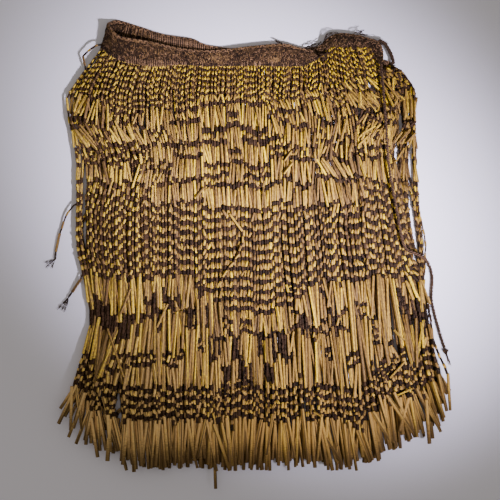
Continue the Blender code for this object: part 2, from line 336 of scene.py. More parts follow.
@dataclass(frozen=True)
class FibreFinish:
    """Scraped flax fibre dyed near black, with brown threads, partly the fibre's own uneven colour and
    partly a painted sheen.
    """

    name: str = "dyed_fibre"
    deep: tuple = (0.013, 0.0076, 0.0056)
    lit: tuple = (0.055, 0.028, 0.016)
    thread_depth: float = 0.00030

    def build(self) -> Material:
        """Makes the material, with threads that run along each stretch of fibre.

        Returns:
            The material.
        """
        web = Web(self.name)
        around = web.spot("UV")
        threads = web.noise(web.stretch(around, (11.0, 0.5, 1.0)), 1.0, 3.0, 0.6)
        # the lit colour along the threads is partly a painted sheen
        colour = web.mix((threads + web.attribute("tone") * 0.3).between(0.40, 0.85), self.deep, self.lit)
        return web.dress(Base_Color=colour, Roughness=0.75, Specular_IOR_Level=0.06,
                         Normal=web.bump(threads, self.thread_depth))


@dataclass(frozen=True)
class FeltFinish:
    """Matted brown flax fibre with tan wear, as on the felted face of the band."""

    name: str = "felted_band"
    deep: tuple = (0.007, 0.0035, 0.0025)
    brown: tuple = (0.055, 0.026, 0.0135)
    tan: tuple = (0.340, 0.183, 0.072)
    nap_depth: float = 0.0006

    def build(self) -> Material:
        """Makes the material from noises at the scale of patches, tufts and single fibres.

        Returns:
            The material.
        """
        web = Web(self.name)
        spot = web.spot()
        patches = web.noise(spot, 55.0, 3.0, 0.55)
        tufts = web.noise(web.stretch(spot, (1.0, 0.7, 1.0)), 300.0, 3.0, 0.7)
        fibres = web.noise(web.stretch(spot, (1.0, 0.45, 1.0)), 620.0, 3.0, 0.75)
        worn = (patches * 0.8 + tufts * 0.35 + fibres * 0.55).between(0.80, 1.08)
        colour = web.mix((tufts * 0.5 + fibres * 0.5).between(0.36, 0.62), self.deep, self.brown)
        colour = web.mix(worn * 0.42, colour, self.tan)
        colour = web.mix(fibres.between(0.56, 0.66) * 0.8, colour, self.tan)
        colour = web.mix(fibres.between(0.48, 0.38) * 0.9, colour, self.deep)
        place = web.node("ShaderNodeSeparateXYZ", {}, {0: spot})
        # darker over the crumpled right end of the band and around the left fold
        darker_ends = place.between(0.045, 0.105) + place.between(-0.150, -0.185)
        colour = web.mix(darker_ends * 0.5, colour, self.deep)
        along, level = (web.node("ShaderNodeSeparateXYZ", {}, {0: web.spot("UV")}, axis) for axis in (0, 1))
        # painted shade: a row of dark dots under the top edge, for small holes in the felt
        hole_shade_dots = along.maths("SINE", along * 100.0).between(-0.3, 0.3)
        row = level.between(-3.2, -2.9) * level.between(-2.3, -2.6)
        # a lighter tan stripe along the top edge of the outer face: a roll of paler fibre, partly a painted
        # highlight
        colour = web.mix(level.between(-2.7, -2.2) * level.between(-0.8, -1.1) * 0.4, colour, self.tan)
        colour = web.mix(row * hole_shade_dots * patches.between(0.42, 0.55) * 0.85, colour, self.deep)
        height = tufts * 0.6 + fibres * 0.4
        return web.dress(Base_Color=colour, Roughness=0.92, Specular_IOR_Level=0.15,
                         Normal=web.bump(height, self.nap_depth))


@dataclass(frozen=True)
class CordFinish:
    """Twisted fibre cord in one colour, with painted shade in the grooves between its threads and painted
    light on them.
    """

    name: str
    deep: tuple
    lit: tuple

    def build(self) -> Material:
        """Makes the material.

        Returns:
            The material.
        """
        web = Web(self.name)
        spot = web.spot()
        threads = web.noise(spot, 1500.0, 3.0, 0.7)
        blotches = web.noise(spot, 120.0, 2.0)
        # dark share: painted shade in the grooves; lit share: painted light on the threads
        share = (threads * 0.7 + blotches * 0.4).between(0.35, 0.75)
        return web.dress(Base_Color=web.mix(share, self.deep, self.lit), Roughness=0.85,
                         Specular_IOR_Level=0.2, Normal=web.bump(threads, 0.0003))


@dataclass(frozen=True)
class PaperFinish:
    """The plain pale sheet that the garment lies on."""

    name: str = "studio_paper"
    tone: tuple = (0.87, 0.82, 0.99)

    def build(self) -> Material:
        """Makes the material, almost even, with a faint grain.

        Returns:
            The material.
        """
        web = Web(self.name)
        grain = web.noise(web.spot(), 900.0, 2.0)
        low = tuple(part * 0.985 for part in self.tone)
        return web.dress(Base_Color=web.mix(grain, low, self.tone), Roughness=0.9, Specular_IOR_Level=0.1)


# ------------------------------ copies of small shapes
@dataclass(frozen=True)
class Template:
    """A small closed shape of radius 1 along +Z from 0 to 2, held as arrays so it can be copied fast."""

    points: np.ndarray
    corners: np.ndarray
    starts: np.ndarray
    smooth: np.ndarray
    around: np.ndarray
    rim: np.ndarray

    @classmethod
    def taken_from(cls, shape: bmesh.types.BMesh, hollow: set = frozenset(),
                   stain: float = 1.0) -> "Template":
        """Reads a bmesh and frees it.

        Args:
            shape: the finished shape.
            hollow: indices of the vertices inside an open end, which are painted darkest, as shade in the
                hollow.
            stain: how dark the ends are.
        Returns:
            The template.
        """
        bmesh.ops.recalc_face_normals(shape, faces=shape.faces)
        shape.verts.ensure_lookup_table()
        points = np.array([v.co[:] for v in shape.verts])
        corners, starts, smooth, around = [], [], [], []
        for face in shape.faces:
            starts.append(len(corners))
            smooth.append(abs(face.normal.z) < 0.8)
            turns = [math.atan2(v.co.y, v.co.x) / (2 * math.pi) % 1.0 for v in face.verts]
            if max(turns) - min(turns) > 0.5:
                turns = [turn + 1.0 if turn < 0.5 else turn for turn in turns]
            around.extend(turns)
            corners.extend(v.index for v in face.verts)
        height = points[:, 2]
        rim = np.where((height < 0.05) | (height > (1.5 if hollow else 1.95)), stain, 0.0)
        # the hollow of an open end is painted darkest: painted shade
        rim[list(hollow)] = 2.0
        shape.free()
        return cls(points, np.array(corners), np.array(starts), np.array(smooth), np.array(around), rim)


def cone(shape: bmesh.types.BMesh, sides: int, base: float = 1.0, tip: float = 1.0, depth: float = 2.0,
         place: Matrix = Matrix.Translation((0.0, 0.0, 1.0))) -> None:
    """Adds a cone or cylinder, which stands on the origin unless a place is given; a short one is open."""
    bmesh.ops.create_cone(shape, cap_ends=depth == 2.0, segments=sides, radius1=base, radius2=tip,
                          depth=depth, matrix=place)


def cut_across(shape: bmesh.types.BMesh, height: float) -> None:
    """Cuts a ring of edges into a shape at a height."""
    everything = shape.verts[:] + shape.edges[:] + shape.faces[:]
    bmesh.ops.bisect_plane(shape, geom=everything, plane_co=(0, 0, height), plane_no=(0, 0, 1))


def bead_template(sides: int) -> Template:
    """A short plain length of rolled tube.

    Args:
        sides: number of sides.
    Returns:
        The template.
    """
    shape = bmesh.new()
    cone(shape, sides, tip=0.95)
    return Template.taken_from(shape, stain=0.0)


def tube_template(sides: int, open_end: bool = False) -> Template:
    """A rolled tube whose ends draw in a little.

    Args:
        sides: number of sides.
        open_end: whether its far end shows the hollow of the roll.
    Returns:
        The template.
    """
    shape = bmesh.new()
    cone(shape, sides)
    for height in (0.45, 1.55):
        cut_across(shape, height)
    ends = [v for v in shape.verts if v.co.z < 0.01 or (v.co.z > 1.99 and not open_end)]
    bmesh.ops.scale(shape, vec=(0.78, 0.78, 1.0), verts=ends)
    hollow = set()
    if open_end:
        mouth = [f for f in shape.faces if f.normal.z > 0.9]
        bmesh.ops.inset_region(shape, faces=mouth, thickness=0.28, depth=0.0)
        bmesh.ops.translate(shape, vec=(0.0, 0.0, -0.35), verts=mouth[0].verts[:])
        shape.verts.index_update()
        hollow = {v.index for v in mouth[0].verts}
    return Template.taken_from(shape, hollow)


def fibre_template(sides: int, hairs: int, seed: int) -> Template:
    """A short bundle of scraped fibre, uneven, with a few hairs that stand off it.

    Args:
        sides: number of sides of the bundle.
        hairs: number of loose hairs.
        seed: seed of its unevenness.
    Returns:
        The template.
    """
    chance = Random(seed)
    shape = bmesh.new()
    cone(shape, sides, 0.76, 0.76)
    cut_across(shape, 0.99)
    for vert in shape.verts:
        swell = chance.uniform(1.0, 1.4) if 0.1 < vert.co.z < 1.9 else chance.uniform(0.9, 1.1)
        vert.co.x *= swell
        vert.co.y *= swell
    for _ in range(hairs):
        turn = chance.uniform(0, 2 * math.pi)
        lean = Matrix.Rotation(chance.uniform(0.25, 0.6), 4, (math.sin(turn), -math.cos(turn), 0))
        foot = Matrix.Translation((0.7 * math.cos(turn), 0.7 * math.sin(turn), chance.uniform(0.2, 0.9)))
        cone(shape, 3, 0.14, 0.03, 1.1, foot @ lean.inverted() @ Matrix.Translation((0, 0, 0.5)))
    return Template.taken_from(shape)


def needle_template(tip: float = 0.25) -> Template:
    """A three-sided sliver for a hair or a length of fine thread.

    Args:
        tip: radius of its far end.
    Returns:
        The template.
    """
    shape = bmesh.new()
    cone(shape, 3, tip=tip)
    return Template.taken_from(shape)


END_ROOM = 1 / 2.05         # most of a copy's length that the shaping of one end takes
GRAIN_TURN = 0.381          # how far the grain of each copy is turned from that of the one before,
GRAIN_SHIFT = 17.3          # and how far it is moved along, in millimetres


@dataclass
class Copies:
    """Where the copies of a template go, in the layout: rows of both ends, radius, tone and age."""

    template: Template
    rows: list = field(default_factory=list)

    def add(self, start: Point, end: Point, radius: float, tone: float, age: float = 0.0) -> None:
        """Adds one copy from start to end."""
        self.rows.append((start, end, radius, tone, age))

    def chain(self, points: np.ndarray | list, radius: float, tone: float) -> None:
        """Adds a copy for each span of a line of points."""
        for here, there in zip(points, points[1:]):
            self.add(here, there, radius, tone)

    def positions(self) -> tuple[np.ndarray, np.ndarray]:
        """Works out every vertex.

        Returns:
            The points in the layout, and each one's distance from the start of its copy.
        """
        start, end, radius = (np.array(column, dtype=float) for column in list(zip(*self.rows))[:3])
        reach = end - start
        length = np.linalg.norm(reach, axis=1)
        along = reach / length[:, None]
        side = np.cross(along, (0.0, 0.0, 1.0))
        side[np.linalg.norm(side, axis=1) < 1e-6] = (1.0, 0.0, 0.0)
        side = units(side)
        other = np.cross(along, side)
        end_room = np.minimum(radius, length * END_ROOM)
        x, y, z = self.template.points.T
        run = np.where(z > 1.0, length[:, None] - (2.0 - z) * end_room[:, None], z * end_room[:, None])
        points = (start[:, None] + along[:, None] * run[..., None]
                  + side[:, None] * (x * radius[:, None])[..., None]
                  + other[:, None] * (y * radius[:, None])[..., None])
        return points, run


def joined(name: str, parts: list[Copies], material: Material) -> Object:
    """Makes one mesh of all the copies in several lists.

    Args:
        name: the piece's name.
        parts: the lists of copies.
        material: what they are dressed in.
    Returns:
        The new object.
    """
    points, corners, starts, smooth, uvs = [], [], [], [], []
    carried = {"tone": [], "age": [], "rim": []}
    verts = loops = 0
    for part in (p for p in parts if p.rows):
        shape = part.template
        count, size = len(part.rows), len(shape.points)
        spots, run = part.positions()
        points.append(spots.reshape(-1, 3))
        order = np.arange(count)
        corners.append((shape.corners[None] + order[:, None] * size + verts).ravel())
        starts.append((shape.starts[None] + order[:, None] * len(shape.corners) + loops).ravel())
        smooth.append(np.tile(shape.smooth, count))
        turn = (order * GRAIN_TURN)[:, None]
        lengthwise = run[:, shape.corners] + (order * GRAIN_SHIFT)[:, None]
        uvs.append(np.stack([shape.around[None] + turn, lengthwise], axis=-1).reshape(-1, 2))
        for key, column in (("tone", 3), ("age", 4)):
            carried[key].append(np.repeat([row[column] for row in part.rows], size))
        carried["rim"].append(np.tile(shape.rim, count))
        verts += count * size
        loops += count * len(shape.corners)
    mesh = bpy.data.meshes.new(name)
    mesh.vertices.add(verts)
    mesh.vertices.foreach_set("co", placed(np.concatenate(points)).ravel())
    mesh.loops.add(loops)
    mesh.loops.foreach_set("vertex_index", np.concatenate(corners))
    firsts = np.concatenate(starts)
    mesh.polygons.add(len(firsts))
    mesh.polygons.foreach_set("loop_start", firsts)
    mesh.update(calc_edges=True)
    mesh.polygons.foreach_set("use_smooth", np.concatenate(smooth))
    mesh.uv_layers.new(name="UVMap").data.foreach_set("uv", np.concatenate(uvs).ravel())
    for key, values in carried.items():
        mesh.attributes.new(key, "FLOAT", "POINT").data.foreach_set("value", np.concatenate(values))
    mesh.validate()
    return add_piece(name, mesh, material)


def linked(name: str, data: bpy.types.ID) -> Object:
    """A new object in the scene that shows some data.

    Args:
        name: the object's name.
        data: a mesh, curve, light or camera.
    Returns:
        The object.
    """
    thing = bpy.data.objects.new(name, data)
    bpy.context.scene.collection.objects.link(thing)
    return thing


def meshed(name: str, shape: bmesh.types.BMesh) -> Mesh:
    """A new mesh with a finished shape, which is freed.

    Args:
        name: the mesh's name.
        shape: the finished shape.
    Returns:
        The mesh.
    """
    mesh = bpy.data.meshes.new(name)
    shape.to_mesh(mesh)
    shape.free()
    return mesh


def add_piece(name: str, mesh: Mesh, material: Material) -> Object:
    """Links a mesh as a piece of the garment and reports it.

    Args:
        name: the piece's name.
        mesh: its mesh, already in place.
        material: what it is dressed in.
    Returns:
        The new object.
    """
    mesh.materials.clear()
    mesh.materials.append(material)
    piece = linked(name, mesh)
    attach(piece, BODY)
    count = sum(len(face.vertices) - 2 for face in mesh.polygons)
    LOG.info("%s: %d triangles", name, count)
    return piece


def swept(name: str, routes: list[np.ndarray], radius: float) -> Mesh:
    """The closed mesh of six-sided tubes along routes in the layout.

    Args:
        name: the mesh's name.
        routes: lines of points, whose fourth column, if any, is a share of the radius.
        radius: the tubes' radius, in millimetres.
    Returns:
        The mesh, in the frame.
    """
    curve = bpy.data.curves.new(name, "CURVE")
    curve.dimensions = "3D"
    curve.bevel_depth = radius * MM
    curve.bevel_resolution = 1
    curve.use_fill_caps = True
    for route in routes:
        spline = curve.splines.new("POLY")
        spline.points.add(len(route) - 1)
        spots = np.hstack([placed(route[:, :3]), np.ones((len(route), 1))])
        spline.points.foreach_set("co", spots.ravel())
        if route.shape[1] > 3:
            spline.points.foreach_set("radius", route[:, 3])
        spline.use_smooth = True
    thing = linked(name, curve)
    bpy.context.view_layer.update()
    seen = thing.evaluated_get(bpy.context.evaluated_depsgraph_get())
    mesh = bpy.data.meshes.new_from_object(seen)
    bpy.data.objects.remove(thing, do_unlink=True)
    bpy.data.curves.remove(curve)
    shape = bmesh.new()
    shape.from_mesh(mesh)
    bmesh.ops.remove_doubles(shape, verts=shape.verts, dist=0.000005)
    bmesh.ops.recalc_face_normals(shape, faces=shape.faces)
    shape.to_mesh(mesh)
    shape.free()
    mesh.name = name
    mesh.shade_smooth()
    return mesh


def add_tubes(name: str, routes: list[np.ndarray], radius: float, material: Material) -> Object:
    """Adds a piece of six-sided tubes along routes, radius and routes in millimetres."""
    return add_piece(name, swept(name, routes, radius), material)


def plies(route: np.ndarray, count: int, offset: float, pitch: float) -> list[np.ndarray]:
    """Routes of the plies that twist round a cord's middle.

    Args:
        route: the cord's middle, closely spaced.
        count: number of plies.
        offset: each ply's distance from the middle.
        pitch: length of one full turn.
    Returns:
        One route for each ply.
    """
    along = units(np.gradient(route, axis=0))
    side = units(np.cross(along, (0.0, 0.0, 1.0)))
    other = np.cross(side, along)
    turn = run_lengths(route) * 2 * math.pi / pitch
    made = []
    for ply in range(count):
        angle = (turn + ply * 2 * math.pi / count)[:, None]
        made.append(route + offset * (side * np.cos(angle) + other * np.sin(angle)))
    return made


# ------------------------------ band
class Panel(Enum):
    """The stretch of the band that a section belongs to."""

    TAIL = "tail"
    FRONT = "front"
    FOLD = "fold"
    BACK = "back"


class BandSection(NamedTuple):
    """One section across the band: its lower edge, its upper edge, and how far its middle is domed."""

    panel: Panel
    lower: tuple
    upper: tuple
    dome: float


BAND_ROWS = {
    # for each section, lower edge x, y, z; upper edge x, y, z; dome
    Panel.TAIL: (
        ((168, 259, 20.5), (174, 260, 20.5), 0.0), ((164, 270, 14.5), (174, 273, 15.0), 0.8),
    ),
    Panel.FRONT: (
        ((158, 275.5, 11), (169, 287, 10), 2.5), ((146, 277, 10.5), (157, 292, 9), 5.0),
        ((132, 276, 10.5), (138, 297, 9), 6.0), ((116, 276, 10.5), (117, 299, 9), 6.0),
        ((104, 276, 10.5), (103, 295, 8), 4.0), ((96, 271, 10.5), (92, 285, 7), 1.5),
        ((86, 264, 10.5), (81, 277, 7), 1.0), ((74, 257, 10.5), (68, 278, 7), 1.5),
        ((57, 254, 10.5), (57, 281, 7), 2.0), ((38, 254, 10.5), (38, 285, 7.5), 2.0),
        ((-5, 255, 10.5), (-5, 281.5, 7.5), 2.0), ((-57, 254, 10.5), (-57, 276, 7), 1.5),
        ((-100, 256, 11.5), (-100, 279, 9), 2.0), ((-140, 254, 13.5), (-140, 287, 15), 2.0),
        ((-176, 260, 15.5), (-176, 292, 21), 2.0), ((-189, 266, 16), (-186, 297, 23), 1.5),
    ),
    Panel.FOLD: (
        ((-198, 272, 14.5), (-193, 305, 21), 0.5), ((-205, 278, 10), (-197, 311, 13), 0.0),
        ((-204, 282, 5), (-193, 315, 6.5), 0.0),
    ),
    Panel.BACK: (
        ((-194, 284, 1.9), (-184, 317, 1.9), 0.0), ((-158, 276, 1.9), (-154, 308, 1.9), 0.0),
        ((-122, 266, 1.9), (-122, 298, 1.9), 0.0), ((-84, 260, 1.9), (-84, 292, 1.9), 0.0),
        ((-60, 256, 1.9), (-60, 283, 1.9), 0.0), ((-5, 255, 1.9), (-5, 278, 1.9), 0.0),
        ((76, 258, 1.9), (76, 280, 1.9), 0.0), ((116, 263, 1.9), (113, 290, 1.9), 0.0),
        ((143, 267, 1.9), (140, 291, 1.9), 0.0), ((160, 264, 1.9), (158, 278, 1.9), 0.0),
        ((175, 258.5, 1.9), (174, 264.5, 1.9), 0.0), ((189, 256, 1.9), (188, 260.5, 1.9), 0.0),
    ),
}
BAND = tuple(BandSection(panel, *row) for panel, rows in BAND_ROWS.items() for row in rows)


@dataclass
class BandForm:
    """The band's stations every millimetre or so of its length, worked out from the sections."""

    step: float = 1.0
    lower: np.ndarray = None
    upper: np.ndarray = None
    dome: np.ndarray = None
    backness: np.ndarray = None
    outward: np.ndarray = None
    length: np.ndarray = None

    def __post_init__(self) -> None:
        """Reads a smooth curve through the sections and spaces its stations evenly."""
        rows = np.array([(*s.lower, *s.upper, s.dome, s.panel is Panel.BACK) for s in BAND], dtype=float)
        dense = catmull_rom(rows, self.step / 2)
        middle = (dense[:, 0:3] + dense[:, 3:6]) / 2
        run = run_lengths(middle)
        spots = np.linspace(0.0, run[-1], round(run[-1] / self.step) + 1)
        even = np.stack([np.interp(spots, run, column) for column in dense.T], axis=1)
        self.length = spots
        self.lower, self.upper = even[:, 0:3], even[:, 3:6]
        self.dome, self.backness = np.maximum(even[:, 6], 0.0), np.clip(even[:, 7], 0.0, 1.0)
        along = np.gradient((self.lower + self.upper) / 2, axis=0)
        self.outward = units(np.cross(units(self.upper - self.lower), along))

    def spot(self, index: np.ndarray, across: np.ndarray, off: np.ndarray) -> np.ndarray:
        """Points of the band.

        Args:
            index: station numbers.
            across: share of the way from the lower to the upper edge.
            off: millimetres out of the middle of the wall, towards the outer face.
        Returns:
            The points in the layout.
        """
        across = np.asarray(across)[..., None]
        dome = self.dome[index][..., None] * 4 * across * (1 - across)
        base = self.lower[index] * (1 - across) + self.upper[index] * across
        return base + self.outward[index] * (dome + np.asarray(off)[..., None])

    def edge(self, panels: set) -> np.ndarray:
        """Numbers of the stations in some panels, from left to right along the lower edge.

        Args:
            panels: the panels wanted.
        Returns:
            The stations' numbers.
        """
        owner = self.owners()
        chosen = [i for i in range(len(self.length)) if owner[i] in panels]
        return np.array(sorted(chosen, key=lambda i: self.lower[i][0]))

    def owners(self) -> list:
        """The panel that each station belongs to: that of the nearest section before it.

        Returns:
            One panel for each station.
        """
        marks = []
        for section in BAND:
            gaps = np.linalg.norm(self.lower - np.array(section.lower), axis=1)
            marks.append(int(np.argmin(gaps)))
        owner, current = [], 0
        for i in range(len(self.length)):
            while current + 1 < len(BAND) and marks[current + 1] <= i:
                current += 1
            owner.append(BAND[current].panel)
        return owner


@dataclass
class Waistband:
    """The felted band with its plaited top edge, its whorl and its loose hairs.

    Its finishes are that of the felt and those of the light and the dark fibre.
    """

    form: BandForm
    felt: Material
    light: Material
    dark: Material
    wall: float = 3.8
    face_points: int = 17
    round_points: int = 3
    rib_pitch: float = 3.4
    rib_height: float = 0.4
    rib_reach: float = 0.26
    rib_fade: float = 0.08
    rim_bulge: float = 0.06
    rim_inset: float = 0.02
    lump: float = 0.7
    lump_scales: tuple = (0.14, 0.45, 1.3)  # broad swells, tufts and grain
    grain: float = 0.22
    seen_shift: float = 40.0  # where in the noise the seen face lies
    bunch: tuple = (96.0, 178.0)  # from x to x, where the band is crumpled
    bunch_lump: float = 2.6
    crease_scales: tuple = (0.13, 0.05, 0.045)
    whorl: tuple = (-116.0, 269.0)
    whorl_height: float = 0.9
    whorl_pitch: float = 6.5
    whorl_size: float = 5.5
    plait_offset: float = 1.5
    plait_depth: float = 1.6
    plait_inset: float = 1.2
    plait_pitch: float = 7.5
    plait_radius: float = 1.15
    plait_ends: tuple = (14, 4)  # stations it leaves free at the band's front end and back end
    weft_ends: tuple = (12.0, 8)  # stations the weft leaves free there
    weft_pitch: float = 1.45
    weft_size: tuple = (0.6, 0.8)
    weft_reach: tuple = (0.06, 0.24)
    weft_off: float = 0.1  # how far its middle stands off the even wall
    weft_slip: float = 0.35
    weft_gap: tuple = (0.85, 1.15)  # share of the pitch to the next one
    light_share: float = 0.2  # of the front's weft outside the stitched stretch
    stitched: tuple = (-168.0, -100.0)  # from x to x, where the weft is two-coloured and longer
    stitched_reach: tuple = (0.22, 0.34)
    back_reach: float = 0.97
    back_worn: float = -142.0  # left of this x,
    worn_share: float = 0.8  # this share of the back's weft is worn off
    threads: int = 2600
    thread_size: tuple = (0.28, 0.5)
    thread_span: tuple = (1.8, 1.9)  # along the band and across it
    thread_bend: float = 0.9
    thread_off: float = 0.15
    thread_dark: float = 0.55  # share of them that is dark
    least_span: float = 0.3
    hairs: int = 1500
    hair_size: tuple = (0.06, 0.16)
    hair_length: tuple = (0.8, 3.0)
    hair_lean: float = 0.7
    edge_hairs: float = 0.45  # share of them that stands on an edge
    seed: int = 5

    def relief(self, station: int, across: float, outer: bool) -> float:
        """How far the felt stands off the even wall at one point of a face, in millimetres.

        Args:
            station: station number.
            across: share of the way from the lower to the upper edge.
            outer: whether the point is on the outer face.
        Returns:
            The height of the relief.
        """
        form = self.form
        spot = form.lower[station] * (1 - across) + form.upper[station] * across
        back = form.backness[station] > 0.5
        seen = outer != back
        key = Vector(spot) + Vector((0, 0, self.seen_shift if seen else 0.0))
        swell, tuft, grain = (noise.noise(key * scale) for scale in self.lump_scales)
        rise = self.lump * (swell + 0.5 * tuft) + self.grain * grain
        if self.bunch[0] < spot[0] < self.bunch[1] and not back:
            along, slant, down = self.crease_scales
            crease = Vector((key.x * along + key.y * slant, key.y * down, 3.0))
            fade = math.sin(math.pi * clamp(across)) ** 0.5
            rise += self.bunch_lump * noise.noise(crease) * fade
        ribs = math.cos(2 * math.pi * form.length[station] / self.rib_pitch)
        reach = 1.0 if back else self.rib_reach
        rise += self.rib_height * ribs * (clamp((reach - across) / self.rib_fade) if seen else 0.0)
        if seen and not back:
            near = math.hypot(spot[0] - self.whorl[0], spot[1] - self.whorl[1])
            rings = math.cos(2 * math.pi * near / self.whorl_pitch)
            rise += self.whorl_height * rings * math.exp(-(near / self.whorl_size) ** 2)
        return rise

    def build_felt(self) -> Object:
        """Makes the closed shell of the band on its sections, in the place of the solid.

        Returns:
            The piece.
        """
        form = self.form
        ring = self._ring()
        last = len(form.length) - 1
        shape = bmesh.new()
        uv = shape.loops.layers.uv.new("UVMap")
        bmesh.ops.create_grid(shape, x_segments=last, y_segments=len(ring), size=1.0)
        for face in shape.faces:
            face.smooth = True
            for loop in face.loops:
                loop[uv].uv = (loop.vert.co.x * 10, loop.vert.co.y * 10)
        for vert in shape.verts:
            station = round((vert.co.x + 1) / 2 * last)
            across, off, outer = ring[round((vert.co.y + 1) / 2 * len(ring)) % len(ring)]
            away = self.wall / 2 * off + self.relief(station, across, outer) * (1 if outer else -1)
            point = form.spot(station, across, away)
            point[2] = max(point[2], FLOOR_GAP / 2)
            vert.co = placed(point)
        bmesh.ops.remove_doubles(shape, verts=shape.verts, dist=0.000001)
        bmesh.ops.holes_fill(shape, edges=[e for e in shape.edges if e.is_boundary])
        bmesh.ops.recalc_face_normals(shape, faces=shape.faces)
        piece = add_piece("band_felt", meshed("band_felt", shape), self.felt)
        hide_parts("waistband")
        return piece

    def _ring(self) -> list[tuple]:
        """Stops round the wall: share across, off the middle in half walls, and which face.

        Returns:
            One row for each stop.
        """
        stops = []
        for outer in (True, False):
            way = 1 if outer else -1
            for i in range(self.face_points):
                across = (i + 0.5) / self.face_points
                stops.append((across if outer else 1 - across, way, outer))
            for i in range(self.round_points):
                angle = math.pi * (i + 1) / (self.round_points + 1)
                bulge = self.rim_bulge * math.sin(angle)
                across = 1 + bulge - self.rim_inset if outer else self.rim_inset - bulge
                stops.append((across, way * math.cos(angle), outer))
        return stops

    def build_plait(self) -> None:
        """Plaits three strands of fibre along the top edge of the band."""
        form = self.form
        index = np.arange(self.plait_ends[0], len(form.length) - self.plait_ends[1])
        turn = form.length[index] * 2 * math.pi / self.plait_pitch
        width = np.linalg.norm(form.upper[index] - form.lower[index], axis=1)
        routes = []
        for strand in range(3):
            angle = turn + strand * 2 * math.pi / 3
            across = 1.0 + (self.plait_offset * np.sin(angle) - self.plait_inset) / width
            routes.append(form.spot(index, across, self.plait_depth * np.sin(2 * angle)))
            routes[-1][:, 2] = np.maximum(routes[-1][:, 2], self.plait_radius + FLOOR_GAP)
        add_tubes("band_plait", routes[:1], self.plait_radius, self.dark)
        add_tubes("band_plait_light", routes[1:], self.plait_radius, self.light)

    def build_weft(self) -> None:
        """Wraps the root of each strand above the lower edge, and the whole inside of the back."""
        chance = Random(self.seed + 1)
        form = self.form
        kinds = (Copies(bead_template(5)), Copies(bead_template(5)))
        station, which = self.weft_ends[0], 0
        while station < len(form.length) - self.weft_ends[1]:
            here = round(station)
            back = form.backness[here] > 0.5
            place = form.lower[here, 0]
            stitched = self.stitched[0] < place < self.stitched[1]
            if back and place < self.back_worn and chance.random() < self.worn_share:
                station += self.weft_pitch
                continue
            reach = self.back_reach
            if not back:
                reach = chance.uniform(*(self.stitched_reach if stitched else self.weft_reach))
            away = (self.wall / 2 + self.weft_off) * (-1 if back else 1)
            stops = np.linspace(0.0, reach, 5 if back else 3)
            slip = [chance.uniform(-self.weft_slip, self.weft_slip) for _ in stops]
            for low, high, a, b in zip(stops, stops[1:], slip, slip[1:]):
                ends = [form.spot(here, low, away), form.spot(here, high, away)]
                ends[0][0] += a
                ends[1][0] += b
                kinds[which].add(*ends, chance.uniform(*self.weft_size), chance.random())
            which = 1 - which if stitched or back else int(chance.random() > self.light_share)
            station += self.weft_pitch * chance.uniform(*self.weft_gap)
        joined("band_weft_light", [kinds[0]], self.light)
        joined("band_weft_dark", [kinds[1]], self.dark)

    def build_threads(self) -> None:
        """Lays short bent threads of fibre on the felt, in two or three spans each."""
        chance = Random(self.seed + 2)
        form = self.form
        kinds = (Copies(needle_template(0.8)), Copies(needle_template(0.8)))
        for _ in range(self.threads):
            here = chance.randrange(4, len(form.length) - 8)
            back = form.backness[here] > 0.5
            way = -1 if back else 1
            across = chance.uniform(0.08, 0.97)
            turn = chance.uniform(0.0, 2 * math.pi)
            size = chance.uniform(*self.thread_size)
            kind = kinds[chance.random() < self.thread_dark]
            width = float(np.linalg.norm(form.upper[here] - form.lower[here]))
            last = None
            for _ in range(chance.randint(2, 3)):
                seat = self.relief(here, across, not back)
                point = form.spot(here, across, (self.wall / 2 + seat + self.thread_off) * way)
                if last is not None:
                    kind.add(last, point, size, chance.random())
                last = point
                turn += chance.uniform(-self.thread_bend, self.thread_bend)
                along, down = self.thread_span
                here = clamp(here + round(along * math.cos(turn)), 3, len(form.length) - 6)
                across = clamp(across + down * math.sin(turn) / width, 0.03, 0.99)
        for kind in kinds:
            kind.rows = [row for row in kind.rows if math.dist(row[0], row[1]) > self.least_span]
        joined("band_threads_light", [kinds[0]], self.light)
        joined("band_threads_dark", [kinds[1]], self.dark)

    def build_hairs(self) -> None:
        """Stands short loose hairs on the faces and the edges of the felt."""
        chance = Random(self.seed)
        form = self.form
        hairs = Copies(needle_template())
        for _ in range(self.hairs):
            station = chance.randrange(3, len(form.length) - 3)
            on_edge = chance.random() < self.edge_hairs
            across = chance.choice((0.0, 1.02)) if on_edge else chance.uniform(0.0, 1.0)
            away = (self.wall / 2 - 0.2) * chance.choice((-1, 1)) * (0.3 if on_edge else 1.0)
            foot = form.spot(station, across, away)
            up = form.upper[station] - form.lower[station]
            up = up / np.linalg.norm(up) * (1 if across > 0.5 else -1)
            lean = up * (1.0 if on_edge else 0.3) + form.outward[station] * (away / 2)
            lean += scatter(chance, *(self.hair_lean,) * 3)
            lean /= np.linalg.norm(lean)
            tip = foot + lean * chance.uniform(*self.hair_length)
            tip[2] = max(tip[2], FLOOR_GAP * 2)
            if foot[2] > FLOOR_GAP * 2:
                hairs.add(foot, tip, chance.uniform(*self.hair_size), chance.random())
        joined("band_hairs", [hairs], self.light)


# ------------------------------ strands
LEVELS = (229, 202, 121, 13, -88, -183)     # y of the levels at which guides give their x


class Guide(NamedTuple):
    """A strand that leads its neighbours: its share of the row, x at its foot and levels, and its tip."""

    share: float
    foot: float
    x_at_levels: tuple
    tip: tuple


